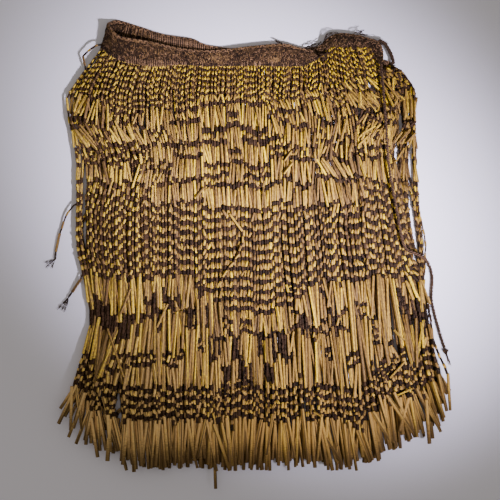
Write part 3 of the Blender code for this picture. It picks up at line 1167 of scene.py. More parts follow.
FRONT_GUIDES = (
    #     share  foot    x at 229   202   121    13   -88  -183        tip x, y
    Guide(0.000, -205, (-243, -252, -238, -240, -221, -246), (-265, -228)),
    Guide(0.025, -201, (-232, -239, -227, -224, -213, -230), (-246, -251)),
    Guide(0.065, -193, (-215, -220, -207, -204, -196, -216), (-219, -273)),
    Guide(0.095, -185, (-199, -204, -192, -190, -184, -206), (-200, -280)),
    Guide(0.120, -173, (-185, -189, -178, -176, -172, -184), (-180, -284)),
    Guide(0.200, -137, (-144, -146, -138, -135, -134, -136), (-138, -285)),
    Guide(0.340, -84, (-86, -86, -82, -80, -80, -81), (-80, -281)),
    Guide(0.485, -30, (-30, -30, -26, -23, -22, -22), (-22, -285)),
    Guide(0.635, 30, (30, 31, 36, 42, 47, 53), (58, -284)),
    Guide(0.755, 76, (78, 82, 92, 103, 113, 126), (138, -285)),
    Guide(0.825, 101, (107, 113, 124, 138, 150, 165), (178, -264)),
    Guide(0.910, 129, (143, 154, 161, 176, 189, 207), (223, -250)),
    Guide(1.000, 157, (184, 196, 194, 215, 234, 252), (262, -216)),
)

BACK_GUIDES = (
    #     share  foot    x at 229   202   121    13   -88  -183        tip x, y
    Guide(0.000, -194, (-236, -246, -232, -235, -219, -239), (-252, -246)),
    Guide(0.100, -172, (-202, -207, -194, -192, -189, -194), (-197, -278)),
    Guide(0.200, -140, (-157, -158, -150, -146, -144, -148), (-148, -284)),
    Guide(0.340, -87, (-94, -94, -90, -86, -86, -88), (-86, -285)),
    Guide(0.480, -36, (-38, -38, -34, -30, -30, -30), (-30, -289)),
    Guide(0.620, 19, (20, 22, 27, 32, 36, 40), (46, -288)),
    Guide(0.740, 69, (73, 77, 85, 94, 104, 115), (126, -287)),
    Guide(0.840, 119, (128, 135, 143, 158, 170, 185), (198, -266)),
    Guide(0.890, 157, (173, 185, 185, 200, 215, 231), (243, -258)),
    Guide(0.950, 177, (202, 207, 205, 217, 225, 247), (255, -239)),
    Guide(1.000, 189, (215, 219, 220, 228, 235, 259), (265, -210)),
)


# The pattern of the strands up to each share of the garment's width, as drops of short dark marks and
# (from, to) pairs of drops for long ones: first the part below the first rows of beads.
UPPER_PATTERN = {
    0.055: (38, (64, 74), (77, 85), 111, 121, 132, 158),
    0.090: (41, (72, 77), (91, 95), 109, 118, 128, 161),
    0.112: (47, (80, 85), 110, 119, 129, 139, 164),
    0.145: ((60, 68), (74, 81), 108, 118, 131, 163),
    0.165: ((68, 73), (103, 108), 119, 130, 140, 160),
    0.197: ((64, 69), (80, 85), 107, 116, 126, 136, 164),
    0.270: ((53, 57), (87, 93), (101, 107), 134, 145, 157, 188),
    0.306: ((54, 58), (70, 74), (101, 108), 119, 154, 182),
    0.375: ((56, 62), (72, 78), (103, 110), 122, 154, 185),
    0.460: ((50, 56), (85, 93), (101, 108), 135, 149, 162, 195),
    0.506: ((49, 54), (62, 70), (78, 85), 117, 132, 164, 195),
    0.601: ((47, 53), (83, 91), (97, 106), 135, 149, 162, 195),
    0.622: ((52, 57), (65, 72), (95, 101), 110, 120, 158, 185),
    0.637: ((58, 64), (76, 81), (97, 103), 110, 120, 158, 185),
    0.668: ((57, 64), (73, 80), (107, 112), 124, 154, 185),
    0.712: ((58, 65), (76, 83), 115, 126, 165, 195),
    0.727: ((52, 57), (88, 95), 115, 126, 165, 195),
    0.756: ((42, 47), (65, 70), (92, 97), 110, 137, 149, 189),
    0.783: ((42, 47), (70, 81), (91, 96), 124, 151, 187),
    0.805: ((34, 39), (73, 78), (93, 100), 124, 151, 187),
    0.855: ((52, 57), (66, 70), (96, 101), 124, 151, 187),
    0.882: ((33, 38), (62, 73), (80, 87), 114, 124, 157),
    0.928: ((30, 35), (60, 69), (81, 85), 114, 124, 157),
    0.965: ((24, 30), (56, 64), (72, 80), (108, 114), 124, 157),
    1.000: ((34, 39), (69, 78), (108, 114), 124, 157),
}

# Then the part with long tubes and long dark stretches, above the last rows.
LOWER_PATTERN = {
    0.032: ((316, 344),), 0.078: ((323, 359),), 0.100: ((332, 354),), 0.132: ((334, 366), 394, 408),
    0.160: ((335, 350), 392, 402), 0.205: ((311, 340), 389, 400), 0.229: ((326, 354),),
    0.289: ((307, 326), 391, 402), 0.310: ((324, 328), 382, 391), 0.348: ((327, 354),),
    0.371: ((296, 315), 372, 384), 0.392: ((327, 354),), 0.432: ((365, 398),),
    0.452: (342, 355, 369, (409, 444)), 0.469: (346, 361, (400, 427)), 0.492: ((366, 398),),
    0.521: (348, 359, (401, 431)), 0.538: (362,), 0.556: ((362, 390),), 0.579: (363, (401, 424)),
    0.637: ((359, 394),), 0.661: (301, (332, 354)), 0.686: (300, (334, 359)), 0.710: (357, 365),
    0.735: ((296, 309), (340, 363), 385, 396), 0.762: ((334, 357),), 0.785: ((327, 357), 393, 402),
    0.800: (388, 397), 0.837: ((316, 338),), 0.862: (345, 355, 364, 374, (405, 422)),
    0.881: ((410, 424),), 0.920: (381, 394), 0.950: ((304, 328),), 0.975: ((314, 342),),
    1.000: ((324, 352),),
}


@dataclass(frozen=True)
class Chart:
    """The pattern: where each strand was scraped to fibre and dyed, from the band to the hem.

    What varies across the garment is held as stops, pairs of a share of its width and a value.
    """

    bead_shift: float = 0.0
    first_row: float = 5.6
    first_pitch: float = 8.2
    first_mark: float = 3.8
    mark: float = 6.0
    field_pitch: tuple = ((0.0, 13.2), (0.6, 13.5), (0.75, 14.4), (1.0, 13.8))
    field_end: tuple = ((0.0, 287), (0.33, 288), (0.385, 308), (0.43, 326),
                        (0.46, 334), (0.60, 334), (0.64, 326), (0.67, 312),
                        (0.74, 294), (1.0, 290))
    first_slip: tuple = ((0.0, 1.2), (0.70, 1.0), (0.80, 2.0), (1.0, 2.4))
    field_slip: tuple = ((0.0, 3.4), (0.33, 2.6), (0.40, 1.8), (0.62, 1.8),
                         (0.72, 2.6), (1.0, 3.2))
    slack: tuple = ((0.0, 3.2), (0.24, 2.6), (0.33, 1.0), (0.60, 1.0),
                    (0.70, 2.4), (1.0, 3.4))
    field_dark: tuple = ((0.0, 0.52), (0.33, 0.50), (0.40, 0.42), (0.62, 0.42),
                         (0.72, 0.48), (1.0, 0.52))
    broken: tuple = ((0.0, 0.12), (0.60, 0.15), (0.64, 0.55), (0.92, 0.45), (0.95, 0.0))
    hem_start: tuple = ((0.0, 430), (0.06, 455), (0.12, 476), (0.78, 478),
                        (0.85, 452), (0.93, 443), (1.0, 413))
    last_rows: int = 4
    last_pitch: float = 12.4
    last_mark: float = 6.9
    clear: float = 4.5  # from the first rows to the first mark below them
    least: float = 1.5  # shortest stretch, of tube or of fibre
    long_mark: float = 16.0  # a longer mark may show as its two ends only
    mark_end: float = 5.0
    slack_rate: float = 0.10
    waves: tuple = ((3.6, 15.0, 7.7), (2.0, 47.0, 3.3))  # size, rate and seed of the rows' swells
    strand_slip: float = 0.8

    @staticmethod
    def read(stops: tuple, share: float) -> float:
        """The value at a share, between its stops."""
        return float(np.interp(share, *zip(*stops)))

    @staticmethod
    def column(pattern: dict, share: float) -> tuple:
        """The marks of the strands that a share falls among.

        Args:
            pattern: marks by the share that they reach to.
            share: the strand's place.
        Returns:
            The marks.
        """
        for until, marks in pattern.items():
            if share <= until:
                break
        return marks

    def darks(self, share: float, top: float, hem: float, chance: Random) -> list[tuple]:
        """Dark stretches of one strand.

        Args:
            share: the strand's place across the width.
            top: drop at which the strand leaves the band.
            hem: drop at which its last tube starts.
            chance: the strand's own source of unevenness.
        Returns:
            Pairs of drops, from the band down.
        """
        upper = self.marks(UPPER_PATTERN, share, chance)
        found = []
        first = self.first_row + self.bead_shift
        slip = chance.gauss(0, self.read(self.first_slip, share))
        row = first - math.ceil((first - top) / self.first_pitch) * self.first_pitch
        while row < upper[0][0] - upper[0][1] / 2 - self.clear:
            found.append((row + slip, self.first_mark, 0.6))
            row += self.first_pitch
        found += upper
        pitch = self.read(self.field_pitch, share)
        dark = pitch * self.read(self.field_dark, share)
        row = upper[-1][0] + pitch
        slip = chance.gauss(0, self.read(self.field_slip, share))
        while row < self.read(self.field_end, share):
            found.append((row + slip, dark, 0.7))
            row += pitch
        found += self.marks(LOWER_PATTERN, share, chance)
        found += [(hem - self.last_mark / 2 - i * self.last_pitch, self.last_mark, 1.0)
                  for i in range(self.last_rows)]
        wave = sum(size * noise.noise(Vector((share * rate, seed, 0.0))) for size, rate, seed in self.waves)
        return self._loosened(found, top, wave + chance.gauss(0, self.strand_slip), chance)

    def marks(self, pattern: dict, share: float, chance: Random) -> list[tuple]:
        """The middle, the length and the unevenness of each mark of one strand in a pattern.

        Args:
            pattern: marks by the share that they reach to.
            share: the strand's place.
            chance: its own source of unevenness.
        Returns:
            One row for each mark.
        """
        spans = []
        for mark in self.column(pattern, share):
            low, high = mark if isinstance(mark, tuple) else (mark - self.mark / 2, mark + self.mark / 2)
            if high - low > self.long_mark and chance.random() < self.read(self.broken, share):
                spans += [(low, low + self.mark_end), (high - self.mark_end, high)]
            else:
                spans.append((low, high))
        slack = self.read(self.slack, share)
        return [((low + high) / 2, high - low, slack + self.slack_rate * (high - low))
                for low, high in spans]

    def _loosened(self, found: list, top: float, shift: float, chance: Random) -> list[tuple]:
        """Gives marks their unevenness and drops those that come above the top or run together.

        Args:
            found: the marks of one strand.
            top: drop at which it leaves the band.
            shift: how far all its marks are moved.
            chance: its own source of unevenness.
        Returns:
            Pairs of drops.
        """
        spans, end = [], top
        for middle, size, slack in sorted(found):
            middle += shift + chance.gauss(0, slack)
            size *= chance.uniform(0.8, 1.25)
            start, stop = middle - size / 2, middle + size / 2
            if start - end < self.least:
                start = end + self.least
            if stop - start > self.least:
                spans.append((start, stop))
                end = stop
        return spans


class HemTube(NamedTuple):
    """A last tube that shows at the hem, as the x and y of its top and of its tip."""

    top: tuple
    tip: tuple


HEM_TUBES = tuple(HemTube(row[:2], row[2:]) for row in (
    # top x, y and tip x, y, from left to right
    (-240, -174, -263, -228), (-243, -177, -250, -237), (-227, -185, -251, -246),
    (-235, -177, -236, -235), (-221, -199, -238, -255), (-219, -207, -228, -250),
    (-221, -218, -208, -273), (-211, -208, -198, -264), (-204, -191, -182, -265),
    (-193, -223, -196, -278), (-190, -220, -169, -291), (-178, -228, -178, -278),
    (-162, -220, -165, -293), (-155, -223, -153, -285), (-142, -223, -139, -287),
    (-131, -226, -130, -287), (-122, -230, -122, -287), (-122, -220, -109, -273),
    (-109, -226, -104, -284), (-92, -223, -96, -282), (-74, -203, -86, -261), (-68, -223, -72, -273),
    (-65, -226, -49, -292), (-49, -228, -38, -291), (-47, -227, -30, -277), (-45, -223, -22, -274),
    (-30, -237, -30, -291), (-15, -223, -15, -281), (-4, -223, -3, -288), (7, -220, 1, -274),
    (9, -223, 9, -285), (26, -211, 16, -270), (20, -230, 20, -291), (34, -228, 34, -284),
    (46, -220, 53, -274), (57, -216, 59, -274), (65, -206, 74, -282), (80, -230, 81, -287),
    (88, -218, 89, -278), (80, -224, 117, -277), (92, -223, 104, -291), (124, -234, 132, -284),
    (136, -230, 130, -285), (130, -223, 136, -291), (140, -234, 154, -280), (147, -237, 159, -277),
    (162, -199, 167, -276), (163, -210, 180, -250), (165, -185, 189, -250), (184, -207, 190, -251),
    (181, -189, 212, -239), (185, -185, 220, -246), (212, -193, 219, -246), (208, -193, 196, -238),
    (215, -196, 230, -241), (230, -196, 240, -255), (230, -191, 252, -239), (238, -169, 258, -220),
    (248, -156, 261, -211), (259, -156, 265, -210),
))


@dataclass(frozen=True)
class PaintedLightMap:
    """Painted light and shade on the flax, by place: its tone is raised to the left, more at the far left
    and near the band, and lowered in a patch in the middle, to even out how the key light falls.
    """

    start: float = 0.02
    leftward: float = 0.00042  # for each mm
    edge: tuple = (-110.0, 0.0012)  # left of an x, still more for each mm
    top: tuple = (190.0, 0.0028)  # above a y, for each mm
    # painted shade: the tone drops by this much in a patch round this spot, to tone down the brightly lit
    # middle
    brown: float = 0.17
    painted_shade_spot: tuple = (40.0, -35.0)
    painted_shade_size: float = 33000.0  # how far the brown spreads, as a squared distance

    def at(self, spot: np.ndarray) -> float:
        """The painted light at a point: how much the flax's tone is raised there, less in the painted shade
        of the middle.

        Args:
            spot: a point in the layout.
        Returns:
            What its tone gains.
        """
        x, y = spot[:2]
        away = (x - self.painted_shade_spot[0]) ** 2 + (y - self.painted_shade_spot[1]) ** 2
        paler = self.start - self.leftward * x + self.edge[1] * max(self.edge[0] - x, 0.0)
        paler -= self.brown * math.exp(-away / self.painted_shade_size)
        return paler + self.top[1] * max(y - self.top[0], 0.0)


# Radius of a rolled tube at each drop, and the share of it at each distance from the middle.
RADII = ((0.0, 1.34), (60.0, 1.52), (200.0, 1.9), (330.0, 1.95), (430.0, 2.0), (480.0, 2.35))
GIRTHS = ((100.0, 1.0), (160.0, 1.1))


def tube_radius(drop: float, x: float) -> float:
    """Radius of a rolled tube: beads are slim, and the tubes at the hem and towards the sides thick."""
    return float(np.interp(abs(x), *zip(*GIRTHS))) * float(np.interp(drop, *zip(*RADII)))


@dataclass
class Route:
    """The middle of a strand, read by a measure that grows from its root to its tip."""

    points: np.ndarray
    measure: np.ndarray

    def at(self, measure: float) -> np.ndarray:
        """The point at a measure."""
        return np.array([np.interp(measure, self.measure, column) for column in self.points.T])


@dataclass
class Strand:
    """One strand of a row, with its source of unevenness and the listed tube that ends it, if any."""

    share: float
    chance: Random
    hem: HemTube | None
    route: Route = None
    girth: float = 1.0


@dataclass
class StrandStock:
    """Templates and lists of copies that the strands of one row share."""

    sides: int
    tone: float
    fine: bool
    tone_spread: float = 0.20
    tube_spread: float = 0.13
    bead_limit: float = 9.0  # a tube that is no longer has no drawn-in ends
    least_tube: float = 0.8
    fibre_span: float = 6.5
    overlap: float = 0.5
    ageing: tuple = (330.0, 120.0)  # drop at which it starts, and over how much more
    girths: tuple = (0.90, 1.06)
    fibre_girths: tuple = (0.85, 1.1)
    give: tuple = (0.45, 0.032, 60.0)  # slack of a tube: least, more for each mm, up to a length
    jog: float = 0.5
    bend: tuple = (0.5, 0.0, 0.4)  # how far fibre strays from the middle of its strand
    bunch: tuple = (130.0, 240.0, 50.0)  # x, y and size of where strands are drawn together
    bunch_turn: float = 0.35
    # painted light and shade by place, added to the tone of each tube and each stretch of fibre
    wear: PaintedLightMap = PaintedLightMap()
    beads: Copies = None
    tubes: Copies = None
    hem_tubes: Copies = None
    fibres: list = None

    def __post_init__(self) -> None:
        """Makes the templates, which are plainer for a row that hardly shows."""
        self.beads = Copies(bead_template(min(self.sides, 6)))
        self.tubes = Copies(tube_template(self.sides) if self.fine else bead_template(self.sides))
        self.hem_tubes = Copies(tube_template(self.sides, open_end=True))
        hairs = 2 if self.fine else 0
        self.fibres = [Copies(fibre_template(5 if self.fine else 4, hairs, seed)) for seed in (1, 2, 3)]

    def lay(self, strand: Strand, darks: list) -> None:
        """Lays one strand along its route as tubes and stretches of fibre.

        Args:
            strand: the strand.
            darks: its dark stretches.
        """
        tone = clamp(strand.chance.gauss(self.tone, self.tone_spread), 0.05)
        start = strand.route.measure[0]
        for end, dark_end in darks + [(strand.route.measure[-1], None)]:
            last = dark_end is None
            if end - start > self.least_tube:
                self._tube(strand, start, end, tone, last)
            if not last:
                self._fibre(strand, end, dark_end)
                start = dark_end

    def _tube(self, strand: Strand, start: float, end: float, tone: float, last: bool) -> None:
        """Adds one straight tube.

        Args:
            strand: the strand.
            start: measure at which the tube starts.
            end: measure at which it ends.
            tone: how pale the strand is.
            last: whether it is the tube at the hem.
        """
        route, chance = strand.route, strand.chance
        middle = route.at((start + end) / 2)
        radius = tube_radius((start + end) / 2, middle[0]) * strand.girth * chance.uniform(*self.girths)
        least, rate, longest = self.give
        give = least + min(end - start, longest) * rate
        loose = scatter(chance, give, 0.0, give * 0.6)
        x, y, size = self.bunch
        near = max(0.0, 1.0 - math.hypot(middle[0] - x, middle[1] - y) / size)
        loose[0] -= self.bunch_turn * (end - start) * near
        aside = np.array([chance.uniform(-self.jog, self.jog), 0.0, 0.0])
        here, there = route.at(start) + loose + aside, route.at(end) - loose + aside
        for point in (here, there):
            point[2] = max(point[2], radius + FLOOR_GAP)
        # the tube's tone gets painted light and shade by place
        shade = clamp(tone + self.wear.at(middle) + chance.gauss(0, self.tube_spread))
        age = clamp((start - self.ageing[0]) / self.ageing[1]) * (1.0 if last else 0.6)
        target = self.hem_tubes if last else self.tubes if end - start > self.bead_limit else self.beads
        target.add(here, there, radius, shade, age)

    def _fibre(self, strand: Strand, start: float, end: float) -> None:
        """Adds a stretch of fibre, in spans short enough to bend.

        Args:
            strand: the strand.
            start: measure at which the fibre starts.
            end: measure at which it ends.
        """
        chance = strand.chance
        spans = max(1, round((end - start) / self.fibre_span))
        edges = np.linspace(start - self.overlap, end + self.overlap, spans + 1)
        points = [strand.route.at(edge) for edge in edges]
        for point in points[1:-1]:
            point += scatter(chance, *self.bend)
        for here, there in zip(points, points[1:]):
            radius = tube_radius(start, here[0]) * strand.girth * chance.uniform(*self.fibre_girths)
            for point in (here, there):
                point[2] = max(point[2], radius * 1.3)
            # the fibre's tone gets the same painted light, three times over, which lightens its threads to
            # the left
            chance.choice(self.fibres).add(here, there, radius, chance.random() + 3 * self.wear.at(here))


class Kink(NamedTuple):
    """Where the strands between two shares of a row swing aside: how far, drop by drop."""

    from_share: float
    to_share: float
    shifts: tuple


KINKS = (
    Kink(0.015, 0.085, ((30, 0), (52, 4), (68, -10), (78, -10), (108, 4), (138, 13), (165, 8), (200, 0))),
    Kink(0.085, 0.150, ((55, 0), (72, -8), (80, -8), (106, 4), (136, 11), (165, 5), (195, 0))),
    Kink(0.150, 0.260, ((60, 0), (78, -5), (104, 4), (135, 6), (165, 0))),
    Kink(0.950, 1.010, ((255, 0), (298, 9), (345, 8), (395, 0))),
    Kink(0.755, 0.855, ((100, 0), (128, -8), (165, 7), (185, 6), (215, 0))),
    Kink(0.610, 0.740, ((20, 0), (40, -4), (90, 5), (140, 0))),
    Kink(0.740, 0.830, ((20, 0), (34, -5), (56, 6), (80, 3), (110, -4), (140, 0))),
    Kink(0.870, 0.940, ((10, 0), (24, -6), (50, 6), (62, 6), (80, -4), (100, 0))),
)


class Opening(NamedTuple):
    """A gap where strands part and the floor shows: x at its top, its drops and half its width.

    It can lean, in mm of x for each mm of drop, and the strands on its right can move less than the
    others, as beside the last strands of a row.
    """

    x: float
    top: float
    bottom: float
    half: float
    lean: float = 0.0
    right: float = 1.0
    margin: float = 1.3  # half a strand's width, which the gap is wider by

    def part(self, points: np.ndarray) -> np.ndarray:
        """How far aside the points of a strand are pushed.

        Args:
            points: the strand's points.
        Returns:
            What to add to their x.
        """
        below = EDGE_Y - points[:, 1] - self.top
        away = points[:, 0] - self.x - self.lean * below
        half = self.half + self.margin
        down = np.clip(below / (self.bottom - self.top), 0.0, 1.0)
        near = np.clip(1.1 - np.abs(away) / (3 * half), 0.0, 1.0)
        return np.where(away < 0, -1.0, self.right) * half * np.sin(math.pi * down) ** 0.7 * near


OPENINGS = tuple(Opening(*row) for row in (
    (160, 24, 50, 4.4), (199, 62, 92, 2.6), (194.5, 94, 140, 3.2), (-141, 52, 74, 2.2),
    (-155, 80, 104, 2.2), (140.4, 38, 58, 2.0), (147, 245, 268, 1.8), (173.5, 296, 320, 2.2),
    (176, 316, 344, 2.8), (191.7, 366, 398, 2.4), (-229.5, 130, 178, 2.0), (-230, 176, 252, 1.7),
    (-216, 154, 178, 1.6), (219, 244, 306, 2.4), (207.5, 106, 134, 1.2), (213.5, 92, 166, 4.4, 0.03, 0.1),
    (209.5, 148, 264, 4.0, 0.14, 0.1), (-184, 440, 500, 3.2), (-231, 436, 482, 1.4),
    (-203, 452, 500, 1.2),
))


@dataclass
class StrandRow:
    """One row of strands on the band's lower edge."""

    name: str
    panels: set
    side: int
    level: float
    count: int
    phase: float
    guides: tuple
    seed: int
    tone: float
    sides: int
    fine: bool
    replaced: str
    hem_tubes: tuple = ()
    wander: float = 2.0
    sway: float = 1.1
    lift: float = 1.6
    edge_zone: float = 45.0
    edge_sink: float = 0.5
    kinks: tuple = ()
    ragged: tuple = (-7.0, 9.9)  # how much above its guides' line a strand ends
    tip_spread: float = 3.0
    hem_spread: float = 2.4
    corner_rise: tuple = (14.0, 70.0)  # how much higher strands end at the very corners,
    corner: float = 0.7  # the share of it that this row gets,
    corner_size: float = 0.14  # and the share of the row over which it fades
    crumpled: tuple = (98.0, 160.0)  # from x to x, where strands start higher on the face,
    start_spread: float = 0.15  # by up to this share of it,
    start_rise: float = 14.0  # and farther out, by this many mm for a whole share
    foot: tuple = (0.03, 0.9)  # share of the face above the edge, and mm off the wall's middle
    drift_rates: tuple = (17.0, 0.9, 3.1)  # of the swells across the row, down it and row by row
    jitter: float = 0.6
    lowest: float = 1.8
    hem_lowest: float = 2.4
    hem_sag: float = 0.5
    step: float = 4.0
    kink_shares: tuple = (0.6, 1.5)
    girths: tuple = (0.88, 1.14)
    spacing: float = 0.2  # how far strands are moved, as a share of their pitch
    chart: Chart = Chart()

    def guided(self, share: float) -> tuple[list, list]:
        """x at each level and the tip at a share of the row, between its two guides.

        Args:
            share: a share of the row.
        Returns:
            The two lists.
        """
        shares = [guide.share for guide in self.guides]
        rows = zip(*((*guide.x_at_levels, *guide.tip) for guide in self.guides))
        values = [float(np.interp(share, shares, row)) for row in rows]
        return values[:-2], values[-2:]

    def route(self, strand: Strand, form: BandForm, edge: np.ndarray) -> Route:
        """The middle of a strand from inside the band's edge to its tip, measured by its drop.

        Args:
            strand: the strand.
            form: the band.
            edge: stations that the row hangs from.
        Returns:
            The route.
        """
        share, chance, hem = strand.share, strand.chance, strand.hem
        foot_x = np.interp(share, *zip(*(guide[:2] for guide in self.guides)))
        station = edge[int(np.abs(form.lower[edge, 0] - foot_x).argmin())]
        on_crumple = self.side > 0 and self.crumpled[0] < foot_x < self.crumpled[1]
        over = chance.uniform(0.0, self.start_spread) if on_crumple else 0.0
        foot = form.spot(station, self.foot[0] + over, self.side * (self.foot[1] + self.start_rise * over))
        xs, tip = self.guided(share)
        lift = self.level + chance.uniform(-self.lift, self.lift)
        rows = [foot]
        for number, (x, y) in enumerate(zip(xs, LEVELS)):
            key = (part * rate for part, rate in zip((share, number, self.seed), self.drift_rates))
            drift = noise.noise(Vector(key))
            x += self.wander * 2 * drift + chance.uniform(-1.0, 1.0) * self.sway
            inward = min(x - self.guides[0].x_at_levels[number], self.guides[-1].x_at_levels[number] - x)
            sink = self.edge_sink * (1 - clamp(inward / self.edge_zone)) ** 1.5
            height = lift * (1 - sink) + chance.uniform(-self.jitter, self.jitter)
            rows.append((x, y, max(height, self.lowest)))
        if hem:
            rows[-1] = (*hem.top, lift)
            rows.append((*hem.tip, max(lift - self.hem_sag, self.hem_lowest)))
        else:
            corner = max(0.0, 1.0 - min(share, 1.0 - share) / self.corner_size) ** 0.6 * self.corner
            rise = chance.uniform(*self.ragged) + chance.uniform(*self.corner_rise) * corner
            rows.append((tip[0] + chance.gauss(0, self.tip_spread), tip[1] + rise, lift))
        points = catmull_rom(rows, self.step)
        points[:, 1] = np.minimum.accumulate(points[:, 1] - np.arange(len(points)) * 1e-4)
        for kink in (k for k in self.kinks if k.from_share < share < k.to_share):
            drops, shifts = zip(*kink.shifts)
            points[:, 0] += (np.interp(EDGE_Y - points[:, 1], drops, shifts)
                             * chance.uniform(*self.kink_shares))
        for opening in OPENINGS:
            points[:, 0] += opening.part(points)
        return Route(points, self._measured(points))

    @staticmethod
    def _measured(points: np.ndarray) -> np.ndarray:
        """Drops of a strand's points, which above the first level go on by length along the strand.

        Args:
            points: the strand's points.
        Returns:
            One measure for each.
        """
        drops = EDGE_Y - points[:, 1]
        run = run_lengths(points)
        knee = int(np.searchsorted(drops, EDGE_Y - LEVELS[0]))
        drops[:knee] = drops[knee] - (run[knee] - run[:knee])
        return drops

    def hems(self) -> dict[int, HemTube]:
        """Matches each listed hem tube to the nearest strand that has none yet.

        Returns:
            Strand numbers and their tubes.
        """
        places = [self.guided((number + self.phase) / self.count)[0][-1] for number in range(self.count)]
        matched = {}
        for tube in self.hem_tubes:
            free = [number for number in range(self.count) if number not in matched]
            matched[min(free, key=lambda number: abs(places[number] - tube.top[0]))] = tube
        return matched

    def build(self, form: BandForm, flax: Material, fibre: Material) -> list:
        """Makes the row as one mesh of tubes and one of fibre.

        Args:
            form: the band.
            flax: finish of the tubes.
            fibre: finish of the fibre.
        Returns:
            The two pieces.
        """
        stock = StrandStock(self.sides, self.tone, self.fine)
        edge = form.edge(self.panels)
        hems = self.hems()
        for number in range(self.count):
            chance = Random(self.seed * 1000 + number)
            share = (number + self.phase + chance.uniform(-self.spacing, self.spacing)) / self.count
            hem = hems.get(number)
            strand = Strand(share, chance, hem)
            strand.route = self.route(strand, form, edge)
            hem_drop = EDGE_Y - hem.top[1] if hem else self.chart.read(self.chart.hem_start, share)
            hem_drop += 0.0 if hem else chance.gauss(0, self.hem_spread)
            darks = self.chart.darks(share, strand.route.measure[0], hem_drop, chance)
            strand.girth = chance.uniform(*self.girths)
            stock.lay(strand, darks)
        rolls = [stock.beads, stock.tubes, stock.hem_tubes]
        tubes = joined(self.name + "_tubes", rolls, flax)
        threads = joined(self.name + "_fibre", stock.fibres, fibre)
        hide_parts(self.replaced)
        return [tubes, threads]


FRONT_PANELS = {Panel.FRONT, Panel.FOLD}
BACK_PANELS = {Panel.BACK}
OFFSET_BEADS = Chart(bead_shift=3.4, first_mark=4.2)

# The inner and back rows have lower tones than the front outer row: painted shade, as they lie under it.
ROWS = (
    StrandRow("front_outer", FRONT_PANELS, 1, 17.3, 120, 0.25, FRONT_GUIDES, 11, 0.62, 7,
              True, "fringe_front_outer", HEM_TUBES, kinks=KINKS),
    StrandRow("front_inner", FRONT_PANELS, -1, 13.9, 116, 0.75, FRONT_GUIDES, 12, 0.36, 6,
              True, "fringe_front_inner", (HemTube((-52.7, -240), (-52.7, -316)),), chart=OFFSET_BEADS),
    StrandRow("back_inner", BACK_PANELS, -1, 7.5, 82, 0.25, BACK_GUIDES, 13, 0.40, 5,
              False, "fringe_back_inner", ragged=(-5.0, 16.0), corner=1.0),
    StrandRow("back_outer", BACK_PANELS, 1, 2.9, 76, 0.75, BACK_GUIDES, 14, 0.38, 5,
              False, "fringe_back_outer", ragged=(-5.0, 20.0), corner=1.0, chart=OFFSET_BEADS),
)


# ------------------------------ loose strands
class Kind(Enum):
    """What a stretch of a loose strand is made of."""

    FIBRE = "fibre"
    TUBE = "tube"


FIBRE, TUBE = Kind


class Stray(NamedTuple):
    """A strand that strays from its row: broken, bent outwards, or lying across the others."""

    start: tuple
    stretches: tuple


